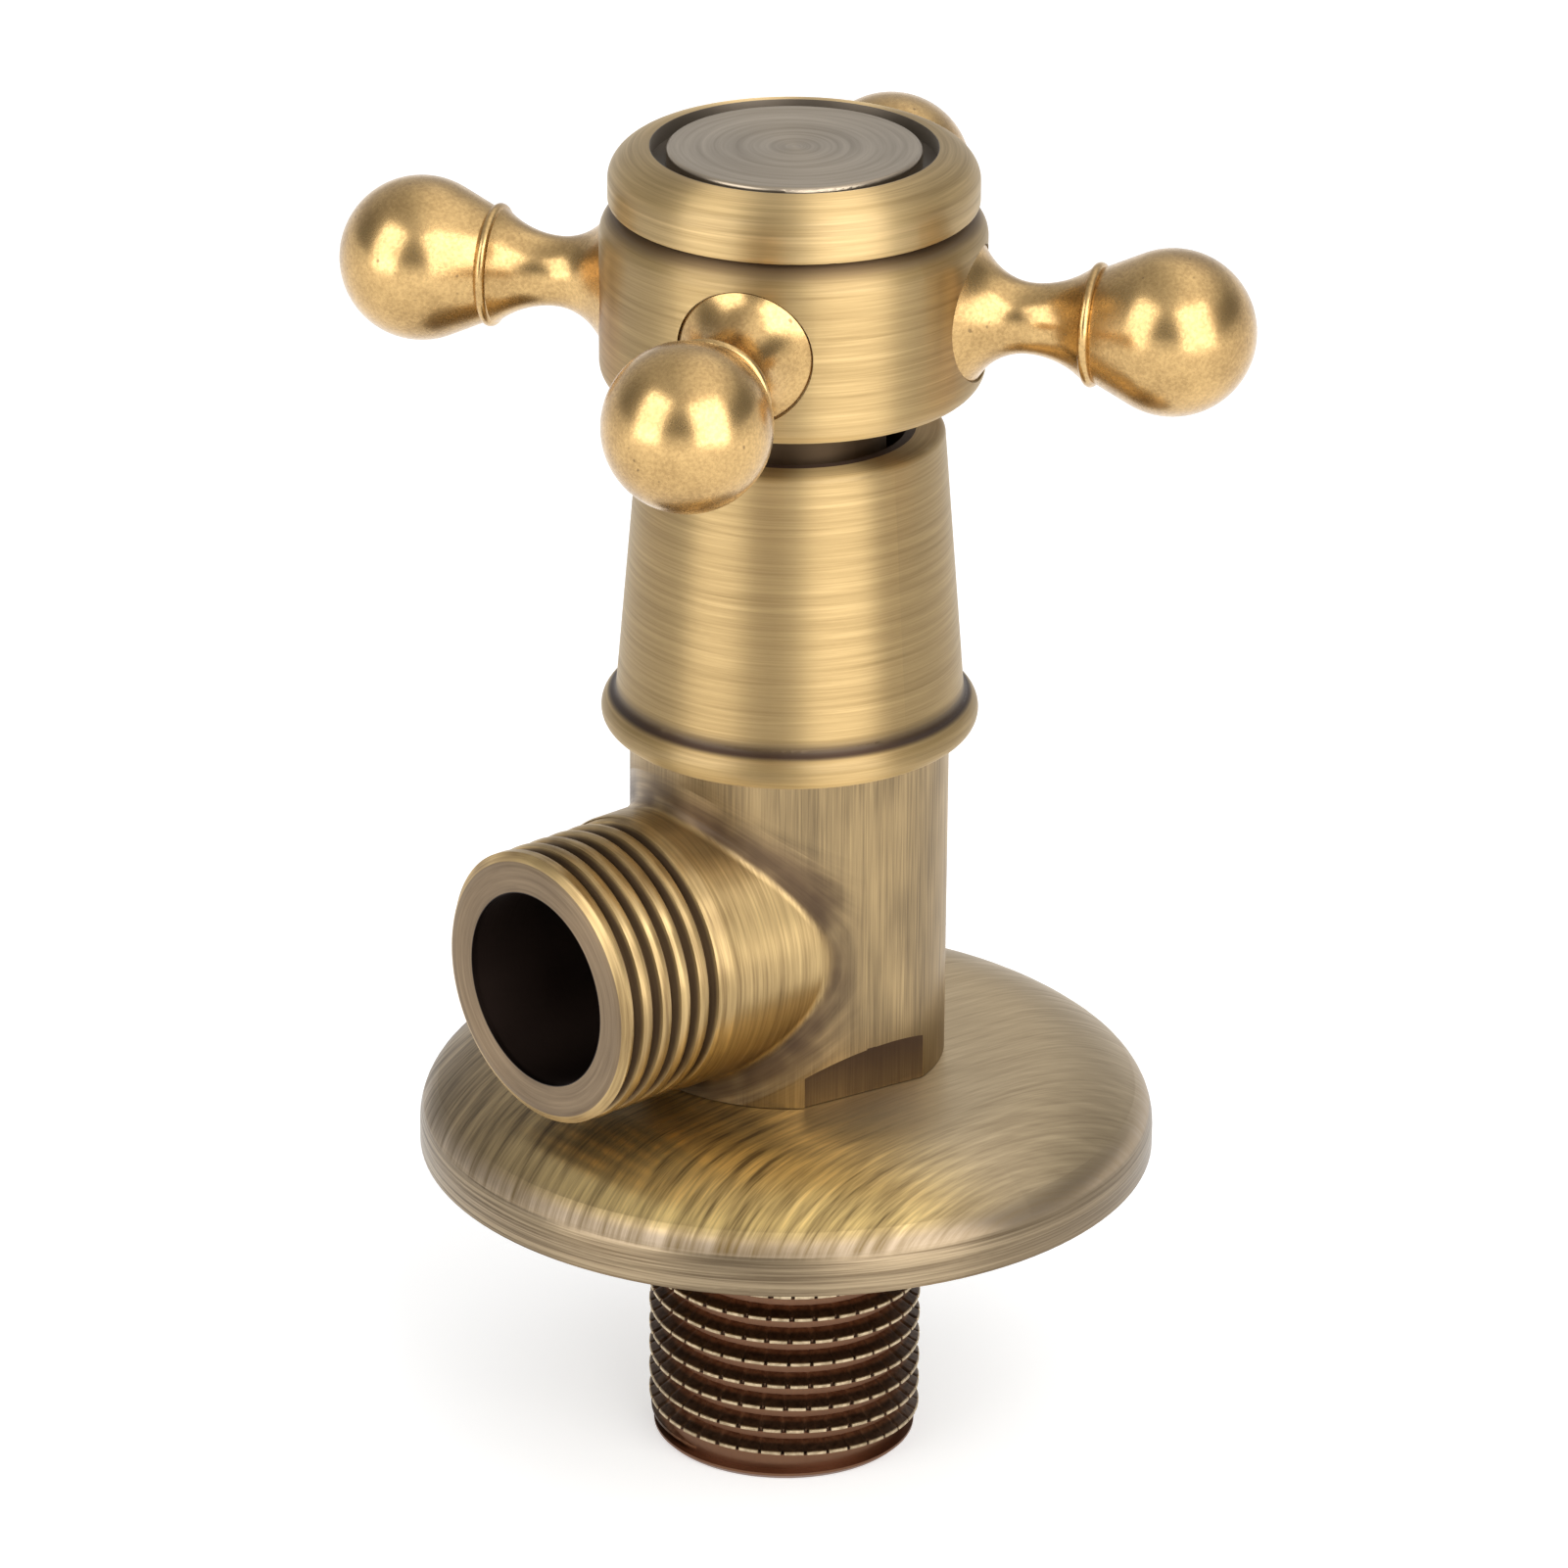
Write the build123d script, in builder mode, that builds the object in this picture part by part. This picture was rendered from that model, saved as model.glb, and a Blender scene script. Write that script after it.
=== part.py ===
from build123d import *
import os
from math import cos, pi, radians, sin, sqrt, tan

# Angle valve for a wall supply, with a cross handle and a quarter turn ceramic cartridge.
# Sizes are in millimetres. +Z runs up the handle's axis from the end of the supply tail,
# and the outlet points along -Y.

# Clearances
fit_gap = 0.05        # radial gap of turned pieces that locate each other
slide_gap = 0.15      # wall flange over the crests of the supply thread
running_gap = 0.2     # turning disc inside the cartridge skirt
seam_gap = 0.05       # shoulder of the body to the top of the wall flange

# Supply tail, with a half inch pipe thread
thread_radius = 10.4775
thread_chamfer = 0.45
thread_length = 24.5
shank_radius = 10.2
tail_length = 32.5
inlet_bore_radius = 7.0

# Valve body
body_radius = 12.0
body_height = 26.55
wrench_flats = 21.4
wrench_flat_height = 3.7
wrench_flat_corner = 1.2
spigot_wall = 2.25
spigot_height = 3.95

# Outlet, with the same pipe thread
outlet_rise = 11.7
outlet_reach = 24.87
outlet_thread_length = 8.7
outlet_chamfer = 0.75
outlet_bore_radius = 7.43
outlet_bore_depth = 13.4
outlet_port_radius = 5.0
barrel_radius = 10.65
barrel_fillet = 0.9

# Wall flange, a turned shell that slides on the supply thread
flange_radius = 28.05
flange_height = 7.65
flange_wall = 1.2
rim_turn_radius = 3.9
rim_turn_angle = 50.0
dome_radius = 13.2

# Bonnet sleeve
sleeve_height = 23.85
bead_radius = 1.4
bead_ring_radius = 12.75
crease_fillet = 0.6
cone_base_radius = 13.17
cone_top_radius = 11.35
cone_edge_fillet = 0.5
sleeve_mouth_radius = 8.5
sleeve_neck_height = 11.0
sleeve_step = 1.0

# Cartridge body
seat_rise = 4.5
chamber_radius = 8.6
chamber_height = 14.5
cartridge_thread_radius = 9.0
skirt_gap = 0.2
skirt_lift = 0.5
skirt_wall = 1.2
window_width = 9.0
window_height = 5.3
key_width = 2.8
collar_flats = 18.0
collar_height = 4.5
cartridge_neck_radius = 7.9
cartridge_neck_height = 10.5
neck_chamfer = 0.6

# Seals and discs inside the cartridge
seal_height = 2.0
seal_inner_radius = 5.9
o_ring_radius = 0.7
lower_disc_height = 2.8
upper_disc_height = 3.0
port_inner_radius = 2.0
port_outer_radius = 5.6
port_sweep = 76.0
key_reach = 0.9

# Spindle
spindle_radius = 5.0
foot_radius = 6.6
foot_height = 2.2
dog_width = 2.8
dog_height = 1.2
thrust_washer_height = 0.5
spindle_ring_radius = 0.55
spindle_ring_spacing = 4.0
ring_groove_width = 1.4
clip_height = 1.0
clip_depth = 0.7
clip_reach = 1.3
clip_mouth = 6.0
spline_teeth = 20
spline_radius = 4.2
tooth_height = 0.3
tooth_width = 0.7

# Handle hub
handle_gap = 3.25
hub_radius = 14.3
hub_height = 13.65
hub_lower_fillet = 2.0
hub_upper_fillet = 1.9
boss_radius = 7.0
boss_length = 6.15
hub_web = 2.0
hub_well_radius = 10.2
hub_well_depth = 3.8
spindle_relief = 0.4

# Spokes, turned with a ball at the end and a flare that hugs the round hub
spoke_names = ("right", "back", "left", "front")
first_spoke_angle = 33.6
spoke_rise = 6.91
ball_distance = 28.6
ball_radius = 6.15
cone_half_angle = 25.0
ridge_distance = 22.85
ridge_half_width = 0.4
ridge_radius = 4.6
ridge_foot_radius = 4.25
ridge_notch = 0.15
throat_distance = 18.0
throat_radius = 2.62
flare_radius = 4.29
flare_rim_radius = 5.0
seat_depth = 0.3
seat_groove = 0.12
stud_radius = 2.5
stud_length = 4.4

# Cap, index disc and the screw under them
cap_radius = 13.68
cap_gap = 0.3
cap_height = 4.5
cap_lower_fillet = 0.6
crown_height = 2.5
cap_spigot_length = 2.4
cap_spigot_wall = 1.3
cap_floor = 1.85
recess_radius = 10.58
recess_depth = 1.25
index_radius = 9.41
index_height = 1.2
index_edge_fillet = 0.3
index_stud_radius = 3.0
index_stud_length = 0.8
screw_radius = 2.0
screw_length = 13.0
screw_head_radius = 3.9
screw_head_height = 2.4
screw_head_fillet = 0.8
screw_socket = 2.5
screw_socket_depth = 1.4
washer_radius = 4.8
washer_height = 0.8

right_angle = 90

# Heights along the handle's axis
body_base = tail_length
body_top = body_base + body_height
spigot_top = body_top + spigot_height
outlet_height = body_base + outlet_rise
seat_height = body_base + seat_rise
sleeve_top = body_top + sleeve_height
hub_base = sleeve_top + handle_gap
hub_top = hub_base + hub_height
spoke_height = hub_base + spoke_rise
cap_base = hub_top + cap_gap
cap_top = cap_base + cap_height
collar_top = spigot_top + collar_height
cartridge_top = collar_top + cartridge_neck_height
lower_disc_base = seat_height + seal_height
upper_disc_base = lower_disc_base + lower_disc_height
foot_base = upper_disc_base + upper_disc_height
foot_top = foot_base + foot_height
guide_base = foot_top + thrust_washer_height
well_base = hub_top - hub_well_depth
spindle_top = well_base - hub_web - spindle_relief

# Radii that follow from the fits
spigot_bore_radius = cartridge_thread_radius + fit_gap
spigot_radius = spigot_bore_radius + spigot_wall
skirt_radius = chamber_radius - skirt_gap
skirt_bore_radius = skirt_radius - skirt_wall
ring_seat_radius = cartridge_thread_radius + fit_gap + 2 * o_ring_radius

outlet_plane = Plane(origin=(0, 0, outlet_height), x_dir=(1, 0, 0), z_dir=(0, -1, 0))

os.makedirs("parts", exist_ok=True)


def turned_face(*corners):
    """Half section through (radius, height) corners, ready to be revolved about Z."""
    with BuildSketch(Plane.XZ) as section:
        with BuildLine():
            Polyline(*corners, close=True)
        make_face()
    return section.sketch


def ring_face(inner_radius, outer_radius, height, thickness):
    """Half section of a flat ring that lies at a height."""
    return turned_face(
        (inner_radius, height),
        (outer_radius, height),
        (outer_radius, height + thickness),
        (inner_radius, height + thickness),
    )


def spline_face(height, gap):
    """Toothed section of the spindle's end, grown by a gap for the bore that fits it."""
    with BuildSketch(Plane.XY.offset(height)) as section:
        Circle(spline_radius + gap)
        with PolarLocations(spline_radius, spline_teeth):
            Rectangle(2 * (tooth_height + gap), tooth_width + 2 * gap)
    return section.sketch


def port_face(height, outer_radius, middle_angle):
    """Two opposite water ports of a ceramic disc, centred on an angle."""
    with BuildSketch(Plane.XY.offset(height)) as section:
        for turn in (0, 2 * right_angle):
            start = middle_angle + turn - port_sweep / 2
            with BuildLine():
                inner = CenterArc((0, 0), port_inner_radius, start, port_sweep)
                outer = CenterArc((0, 0), outer_radius, start, port_sweep)
                Line(inner @ 0, outer @ 0)
                Line(inner @ 1, outer @ 1)
            make_face()
    return section.sketch


# Valve body: tail, barrel and spigot, with the water way through them
with BuildPart() as valve_body:
    revolve(
        turned_face(
            (0, 0),
            (thread_radius - thread_chamfer, 0),
            (thread_radius, thread_chamfer),
            (thread_radius, thread_length),
            (shank_radius, thread_length),
            (shank_radius, body_base),
            (body_radius, body_base),
            (body_radius, body_top),
            (spigot_radius, body_top),
            (spigot_radius, spigot_top),
            (0, spigot_top),
        ),
        axis=Axis.Z,
    )
    with BuildSketch(outlet_plane):
        Circle(barrel_radius)
    extrude(amount=outlet_reach - outlet_thread_length)
    fillet(valve_body.edges().filter_by(GeomType.BSPLINE), barrel_fillet)
    with BuildSketch(outlet_plane):
        Circle(thread_radius)
    extrude(amount=outlet_reach)
    chamfer(valve_body.faces().sort_by(Axis.Y)[0].edges(), outlet_chamfer)
    for side in (1, -1):
        with BuildSketch(Plane.YZ.offset(side * wrench_flats / 2)) as flat:
            with Locations((0, body_base + wrench_flat_height / 2)):
                Rectangle(2 * sqrt(body_radius**2 - (wrench_flats / 2) ** 2), wrench_flat_height)
            fillet(flat.vertices().group_by(Axis.Y)[-1], wrench_flat_corner)
        extrude(amount=side * body_radius, mode=Mode.SUBTRACT)
    revolve(
        turned_face(
            (0, 0),
            (inlet_bore_radius, 0),
            (inlet_bore_radius, seat_height),
            (chamber_radius, seat_height),
            (chamber_radius, seat_height + chamber_height),
            (spigot_bore_radius, seat_height + chamber_height),
            (spigot_bore_radius, spigot_top - 2 * o_ring_radius),
            (ring_seat_radius, spigot_top - 2 * o_ring_radius),
            (ring_seat_radius, spigot_top),
            (0, spigot_top),
        ),
        axis=Axis.Z,
        mode=Mode.SUBTRACT,
    )
    with BuildSketch(outlet_plane.offset(outlet_reach)):
        Circle(outlet_bore_radius)
    extrude(amount=-outlet_bore_depth, mode=Mode.SUBTRACT)
    with BuildSketch(outlet_plane):
        Circle(outlet_port_radius)
    extrude(amount=outlet_reach - outlet_bore_depth, mode=Mode.SUBTRACT)
valve_body.part.label = "valve_body"
export_step(valve_body.part, "parts/valve_body.step")

# Wall flange: one wall thickness all round, open below
flange_top = body_base - seam_gap
flange_base = flange_top - flange_height
turn_rise = rim_turn_radius * sin(radians(rim_turn_angle))
dome_rise = dome_radius * (1 - sin(radians(rim_turn_angle)))
with BuildPart() as wall_flange:
    with BuildSketch(Plane.XZ):
        with BuildLine():
            rim = Line((flange_radius, flange_base), (flange_radius, flange_top - turn_rise - dome_rise))
            shoulder = JernArc(rim @ 1, rim % 1, rim_turn_radius, rim_turn_angle)
            dome = JernArc(shoulder @ 1, shoulder % 1, dome_radius, right_angle - rim_turn_angle)
            Line(dome @ 1, (thread_radius + slide_gap, flange_top))
            offset(amount=flange_wall, side=Side.LEFT, closed=True)
        make_face()
    revolve(axis=Axis.Z)
wall_flange.part.label = "wall_flange"
export_step(wall_flange.part, "parts/wall_flange.step")

# Bonnet sleeve: a bead at the foot, a slow cone above it, screwed over the spigot
sleeve_bore_radius = spigot_radius + fit_gap
bead_centre = Vector(bead_ring_radius, body_top + bead_radius)
cone_foot = Vector(cone_base_radius, body_top + bead_radius)
cone_run = (Vector(cone_top_radius, sleeve_top) - cone_foot).normalized()
cone_normal = Vector(cone_run.Y, -cone_run.X)
crease_offset = cone_foot + cone_normal * crease_fillet - bead_centre
crease_along = cone_run.dot(crease_offset)
crease_span = (bead_radius + crease_fillet) ** 2 - crease_offset.length**2 + crease_along**2
crease_travel = sqrt(crease_span) - crease_along
crease_centre = cone_foot + cone_run * crease_travel + cone_normal * crease_fillet
crease_low = bead_centre + (crease_centre - bead_centre).normalized() * bead_radius
crease_high = cone_foot + cone_run * crease_travel
with BuildPart() as bonnet_sleeve:
    with BuildSketch(Plane.XZ):
        with BuildLine():
            foot = Line((sleeve_bore_radius, body_top), (bead_ring_radius, body_top))
            bead = TangentArc(foot @ 1, crease_low, tangent=foot % 1)
            TangentArc(bead @ 1, crease_high, tangent=bead % 1)
            Polyline(
                crease_high,
                (cone_top_radius, sleeve_top),
                (sleeve_mouth_radius, sleeve_top),
                (sleeve_mouth_radius, sleeve_top - sleeve_neck_height),
                (sleeve_bore_radius, sleeve_top - sleeve_neck_height - sleeve_step),
                (sleeve_bore_radius, body_top),
            )
        make_face()
    revolve(axis=Axis.Z)
    mouth = bonnet_sleeve.edges().filter_by(GeomType.CIRCLE).group_by(Axis.Z)[-1]
    fillet(mouth.sort_by(SortBy.RADIUS)[-1], cone_edge_fillet)
bonnet_sleeve.part.label = "bonnet_sleeve"
export_step(bonnet_sleeve.part, "parts/bonnet_sleeve.step")

# Cartridge body: skirt with windows round the discs, thread, hexagon collar and neck
skirt_base = seat_height + skirt_lift
thread_base = seat_height + chamber_height
guide_radius = spindle_radius + fit_gap
with BuildPart() as cartridge_body:
    revolve(
        turned_face(
            (0, skirt_base),
            (skirt_radius, skirt_base),
            (skirt_radius, thread_base),
            (cartridge_thread_radius, thread_base),
            (cartridge_thread_radius, collar_top),
            (cartridge_neck_radius, collar_top),
            (cartridge_neck_radius, cartridge_top - neck_chamfer),
            (cartridge_neck_radius - neck_chamfer, cartridge_top),
            (0, cartridge_top),
        ),
        axis=Axis.Z,
    )
    with BuildSketch(Plane.XY.offset(spigot_top)):
        RegularPolygon(collar_flats / 2, 6, major_radius=False)
    extrude(amount=collar_height)
    revolve(
        turned_face(
            (0, skirt_base),
            (skirt_bore_radius, skirt_base),
            (skirt_bore_radius, guide_base),
            (guide_radius, guide_base),
            (guide_radius, cartridge_top),
            (0, cartridge_top),
        ),
        axis=Axis.Z,
        mode=Mode.SUBTRACT,
    )
    with BuildSketch(Plane.XZ):
        with Locations((0, guide_base - fit_gap - window_height / 2)):
            Rectangle(window_width, window_height)
    extrude(amount=chamber_radius, both=True, mode=Mode.SUBTRACT)
    with BuildSketch(Plane.YZ):
        with Locations((0, (skirt_base + upper_disc_base) / 2)):
            Rectangle(key_width + 2 * fit_gap, upper_disc_base - skirt_base)
    extrude(amount=chamber_radius, both=True, mode=Mode.SUBTRACT)
cartridge_body.part.label = "cartridge_body"
export_step(cartridge_body.part, "parts/cartridge_body.step")

# O-ring under the cartridge's collar
with BuildPart() as cartridge_o_ring:
    with BuildSketch(Plane.XZ):
        with Locations((cartridge_thread_radius + fit_gap + o_ring_radius, spigot_top - o_ring_radius)):
            Circle(o_ring_radius)
    revolve(axis=Axis.Z)
cartridge_o_ring.part.label = "cartridge_o_ring"
export_step(cartridge_o_ring.part, "parts/cartridge_o_ring.step")

# Rubber seal between the seat and the fixed disc
disc_radius = skirt_bore_radius - fit_gap
with BuildPart() as seat_seal:
    revolve(ring_face(seal_inner_radius, disc_radius, seat_height, seal_height), axis=Axis.Z)
seat_seal.part.label = "seat_seal"
export_step(seat_seal.part, "parts/seat_seal.step")

# Fixed ceramic disc, held from turning by two keys in the skirt
with BuildPart() as lower_disc:
    with BuildSketch(Plane.XY.offset(lower_disc_base)):
        Circle(disc_radius)
        Rectangle(2 * (disc_radius + key_reach), key_width)
    extrude(amount=lower_disc_height)
    extrude(
        port_face(lower_disc_base, port_outer_radius, right_angle),
        amount=lower_disc_height,
        mode=Mode.SUBTRACT,
    )
lower_disc.part.label = "lower_disc"
export_step(lower_disc.part, "parts/lower_disc.step")

# Turning ceramic disc, open at two sides, with a slot for the spindle's dog
turning_radius = skirt_bore_radius - running_gap
with BuildPart() as upper_disc:
    with BuildSketch(Plane.XY.offset(upper_disc_base)):
        Circle(turning_radius)
    extrude(amount=upper_disc_height)
    extrude(port_face(upper_disc_base, body_radius, 0), amount=upper_disc_height, mode=Mode.SUBTRACT)
    with BuildSketch(Plane.XY.offset(foot_base)):
        Rectangle(dog_width + 2 * fit_gap, 2 * body_radius)
    extrude(amount=-dog_height - fit_gap, mode=Mode.SUBTRACT)
upper_disc.part.label = "upper_disc"
export_step(upper_disc.part, "parts/upper_disc.step")

# Spindle: dog, foot, two ring grooves, clip groove, spline and tapped end
clip_base = cartridge_top + fit_gap
clip_seat_radius = spindle_radius - clip_depth
spline_base = clip_base + clip_height + fit_gap
ring_heights = (spigot_top - spindle_ring_spacing, spigot_top)
groove_radius = spindle_radius - 2 * spindle_ring_radius
with BuildPart() as spindle:
    with BuildSketch(Plane.XY.offset(foot_base)) as dog:
        Circle(foot_radius)
        Rectangle(dog_width, 2 * foot_radius, mode=Mode.INTERSECT)
    extrude(amount=-dog_height)
    revolve(
        turned_face(
            (0, foot_base),
            (foot_radius, foot_base),
            (foot_radius, foot_top),
            (spindle_radius, foot_top),
            (spindle_radius, spline_base),
            (0, spline_base),
        ),
        axis=Axis.Z,
    )
    extrude(spline_face(spline_base, 0), amount=spindle_top - spline_base)
    for height in ring_heights:
        revolve(
            ring_face(groove_radius, body_radius, height - ring_groove_width / 2, ring_groove_width),
            axis=Axis.Z,
            mode=Mode.SUBTRACT,
        )
    revolve(ring_face(clip_seat_radius, body_radius, clip_base, clip_height), axis=Axis.Z, mode=Mode.SUBTRACT)
    with BuildSketch(Plane.XY.offset(spindle_top)):
        Circle(screw_radius + fit_gap)
    extrude(amount=-screw_length, mode=Mode.SUBTRACT)
spindle.part.label = "spindle"
export_step(spindle.part, "parts/spindle.step")

# Washer that takes the spindle's thrust
with BuildPart() as thrust_washer:
    revolve(
        ring_face(guide_radius, foot_radius, foot_top, thrust_washer_height - fit_gap),
        axis=Axis.Z,
    )
thrust_washer.part.label = "thrust_washer"
export_step(thrust_washer.part, "parts/thrust_washer.step")

# O-rings in the spindle's grooves
for name, height in zip(("lower", "upper"), ring_heights):
    with BuildPart() as spindle_ring:
        with BuildSketch(Plane.XZ):
            with Locations((spindle_radius - spindle_ring_radius, height)):
                Circle(spindle_ring_radius)
        revolve(axis=Axis.Z)
    spindle_ring.part.label = f"spindle_o_ring_{name}"
    export_step(spindle_ring.part, f"parts/spindle_o_ring_{name}.step")

# Open clip that keeps the spindle in the cartridge
with BuildPart() as retaining_clip:
    with BuildSketch(Plane.XY.offset(clip_base)):
        Circle(spindle_radius + clip_reach)
        Circle(clip_seat_radius, mode=Mode.SUBTRACT)
        with Locations((0, spindle_radius)):
            Rectangle(clip_mouth, 2 * spindle_radius, mode=Mode.SUBTRACT)
    extrude(amount=clip_height)
retaining_clip.part.label = "retaining_clip"
export_step(retaining_clip.part, "parts/retaining_clip.step")


def spoke_plane(angle):
    """Plane through the handle's axis whose x runs out along a spoke and whose y is up."""
    outward = (cos(radians(angle)), sin(radians(angle)), 0)
    normal = (sin(radians(angle)), -cos(radians(angle)), 0)
    return Plane(origin=(0, 0, spoke_height), x_dir=outward, z_dir=normal)


def seat_plane(angle):
    """Plane across a spoke, through the handle's axis."""
    outward = (cos(radians(angle)), sin(radians(angle)), 0)
    return Plane(origin=(0, 0, spoke_height), x_dir=(0, 0, 1), z_dir=outward)


spoke_step = 4 * right_angle / len(spoke_names)
spoke_angles = [first_spoke_angle + spoke_step * n for n in range(len(spoke_names))]
seat_core_radius = hub_radius - seat_depth
seat_radius = flare_rim_radius + seat_groove
stud_end = seat_core_radius - stud_length

# Handle hub: a rounded drum with four saddle seats, a splined boss and a well for the cap
with BuildPart() as handle_hub:
    with BuildSketch(Plane.XY.offset(hub_base)):
        Circle(hub_radius)
    extrude(amount=hub_height)
    fillet(handle_hub.edges().group_by(Axis.Z)[0], hub_lower_fillet)
    fillet(handle_hub.edges().group_by(Axis.Z)[-1], hub_upper_fillet)
    for angle in spoke_angles:
        with BuildSketch(seat_plane(angle).offset(stud_end)):
            Circle(seat_radius)
        extrude(amount=hub_radius, mode=Mode.SUBTRACT)
    with BuildSketch(Plane.XY.offset(spoke_height - seat_radius)):
        Circle(seat_core_radius)
    extrude(amount=2 * seat_radius)
    with BuildSketch(Plane.XY.offset(hub_base - boss_length)):
        Circle(boss_radius)
    extrude(amount=boss_length + hub_lower_fillet)
    with BuildSketch(Plane.XY.offset(well_base)):
        Circle(hub_well_radius)
    extrude(amount=hub_well_depth, mode=Mode.SUBTRACT)
    with BuildSketch(Plane.XY.offset(well_base)):
        Circle(screw_radius + slide_gap)
    extrude(amount=-hub_web, mode=Mode.SUBTRACT)
    bore_length = well_base - hub_web - hub_base + boss_length
    extrude(spline_face(hub_base - boss_length, fit_gap), amount=bore_length, mode=Mode.SUBTRACT)
    for angle in spoke_angles:
        with BuildSketch(seat_plane(angle).offset(stud_end)):
            Circle(stud_radius + fit_gap)
        extrude(amount=hub_radius, mode=Mode.SUBTRACT)
handle_hub.part.label = "handle_hub"
export_step(handle_hub.part, "parts/handle_hub.step")

# Spokes: ball, cone, ridge, throat and flare in one turning, with a threaded stud
ball_tangent = ball_distance - ball_radius * sin(radians(cone_half_angle))
ball_tangent_radius = ball_radius * cos(radians(cone_half_angle))
cone_end = ridge_distance + ridge_half_width + ridge_notch
cone_end_radius = ball_tangent_radius - (ball_tangent - cone_end) * tan(radians(cone_half_angle))
ridge_start = ridge_distance - ridge_half_width
flare_drop = flare_radius - (flare_rim_radius - throat_radius)
flare_rim_distance = throat_distance - sqrt(flare_radius**2 - flare_drop**2)
rim_inner_distance = sqrt(seat_core_radius**2 - flare_rim_radius**2) - fit_gap
for name, angle in zip(spoke_names, spoke_angles):
    with BuildPart() as spoke:
        with BuildSketch(spoke_plane(angle)):
            with BuildLine():
                rim = Line((rim_inner_distance, flare_rim_radius), (flare_rim_distance, flare_rim_radius))
                throat = Vector(throat_distance, throat_radius)
                flare = TangentArc(throat, rim @ 1, tangent=(-1, 0))
                neck = TangentArc(throat, (ridge_start, ridge_foot_radius), tangent=(1, 0))
                ridge = ThreePointArc(
                    neck @ 1,
                    (ridge_distance, ridge_radius),
                    (ridge_distance + ridge_half_width, ridge_foot_radius),
                )
                Polyline(
                    ridge @ 1,
                    (cone_end, cone_end_radius),
                    (ball_tangent, ball_tangent_radius),
                )
                ball_sweep = right_angle + cone_half_angle
                ball = CenterArc((ball_distance, 0), ball_radius, ball_sweep, -ball_sweep)
                Polyline(ball @ 1, (rim_inner_distance, 0), rim @ 0)
            make_face()
        revolve(axis=Axis((0, 0, spoke_height), seat_plane(angle).z_dir))
        with BuildSketch(Plane.XY.offset(spoke_height - seat_radius)):
            Circle(seat_core_radius)
        extrude(amount=2 * seat_radius, mode=Mode.SUBTRACT)
        with BuildSketch(seat_plane(angle).offset(stud_end)):
            Circle(stud_radius)
        extrude(amount=stud_length + ridge_half_width)
    spoke.part.label = f"spoke_{name}"
    export_step(spoke.part, f"parts/spoke_{name}.step")

# Cap: pressed into the hub's well, with a rounded crown and a round recess
with BuildPart() as handle_cap:
    with BuildSketch(Plane.XZ):
        with BuildLine():
            wall = Line((cap_radius, cap_base), (cap_radius, cap_top - crown_height))
            crown = EllipticalCenterArc(
                (recess_radius, cap_top - crown_height),
                cap_radius - recess_radius,
                crown_height,
                arc_size=right_angle,
            )
            Polyline(
                crown @ 1,
                (recess_radius, cap_top - recess_depth),
                (0, cap_top - recess_depth),
                (0, cap_base),
                wall @ 0,
            )
        make_face()
    revolve(axis=Axis.Z)
    fillet(handle_cap.edges().group_by(Axis.Z)[0], cap_lower_fillet)
    cap_spigot_radius = hub_well_radius - fit_gap
    revolve(
        ring_face(0, cap_spigot_radius, hub_top - cap_spigot_length, cap_spigot_length + cap_gap),
        axis=Axis.Z,
    )
    cavity_top = cap_top - recess_depth - cap_floor
    with BuildSketch(Plane.XY.offset(cavity_top)):
        Circle(cap_spigot_radius - cap_spigot_wall)
    extrude(amount=-(cavity_top - hub_top + cap_spigot_length), mode=Mode.SUBTRACT)
    with BuildSketch(Plane.XY.offset(cap_top - recess_depth)):
        Circle(index_stud_radius + fit_gap)
    extrude(amount=-index_stud_length - fit_gap, mode=Mode.SUBTRACT)
handle_cap.part.label = "handle_cap"
export_step(handle_cap.part, "parts/handle_cap.step")

# Index disc: a plain disc that sits in the recess on a short stud
index_base = cap_top - recess_depth
with BuildPart() as index_disc:
    with BuildSketch(Plane.XY.offset(index_base)):
        Circle(index_radius)
    extrude(amount=index_height)
    fillet(index_disc.edges().group_by(Axis.Z)[-1], index_edge_fillet)
    with BuildSketch(Plane.XY.offset(index_base)):
        Circle(index_stud_radius)
    extrude(amount=-index_stud_length)
index_disc.part.label = "index_disc"
export_step(index_disc.part, "parts/index_disc.step")

# Screw that clamps the hub to the spindle, with its washer
with BuildPart() as screw_washer:
    revolve(ring_face(screw_radius + slide_gap, washer_radius, well_base, washer_height), axis=Axis.Z)
screw_washer.part.label = "screw_washer"
export_step(screw_washer.part, "parts/screw_washer.step")

head_base = well_base + washer_height
with BuildPart() as handle_screw:
    with BuildSketch(Plane.XY.offset(head_base)):
        Circle(screw_head_radius)
    extrude(amount=screw_head_height)
    fillet(handle_screw.edges().group_by(Axis.Z)[-1], screw_head_fillet)
    with BuildSketch(Plane.XY.offset(head_base)):
        Circle(screw_radius)
    extrude(amount=-screw_length)
    with BuildSketch(Plane.XY.offset(head_base + screw_head_height)):
        RegularPolygon(screw_socket / 2, 6, major_radius=False)
    extrude(amount=-screw_socket_depth, mode=Mode.SUBTRACT)
handle_screw.part.label = "handle_screw"
export_step(handle_screw.part, "parts/handle_screw.step")
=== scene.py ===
# %% [markdown]
# # Quarter-turn angle valve in antique brass
# The valve stands on its inlet tail. A round flange hides the hole in the wall, a short barrel with a
# pipe thread looks sideways, and a handle with four ball-ended spokes turns the ceramic cartridge inside.
# The CAD model brings every piece in its place and size. This script dresses it: it adds the threads,
# the saddle seats of the spokes and the brushed, darkened finish, then sets a camera and a studio.

# %% Load the frame
from functools import reduce
from math import ceil, cos, hypot, pi, radians, sin, sqrt, tan

import bmesh
import bpy
from mathutils import Matrix, Vector


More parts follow.
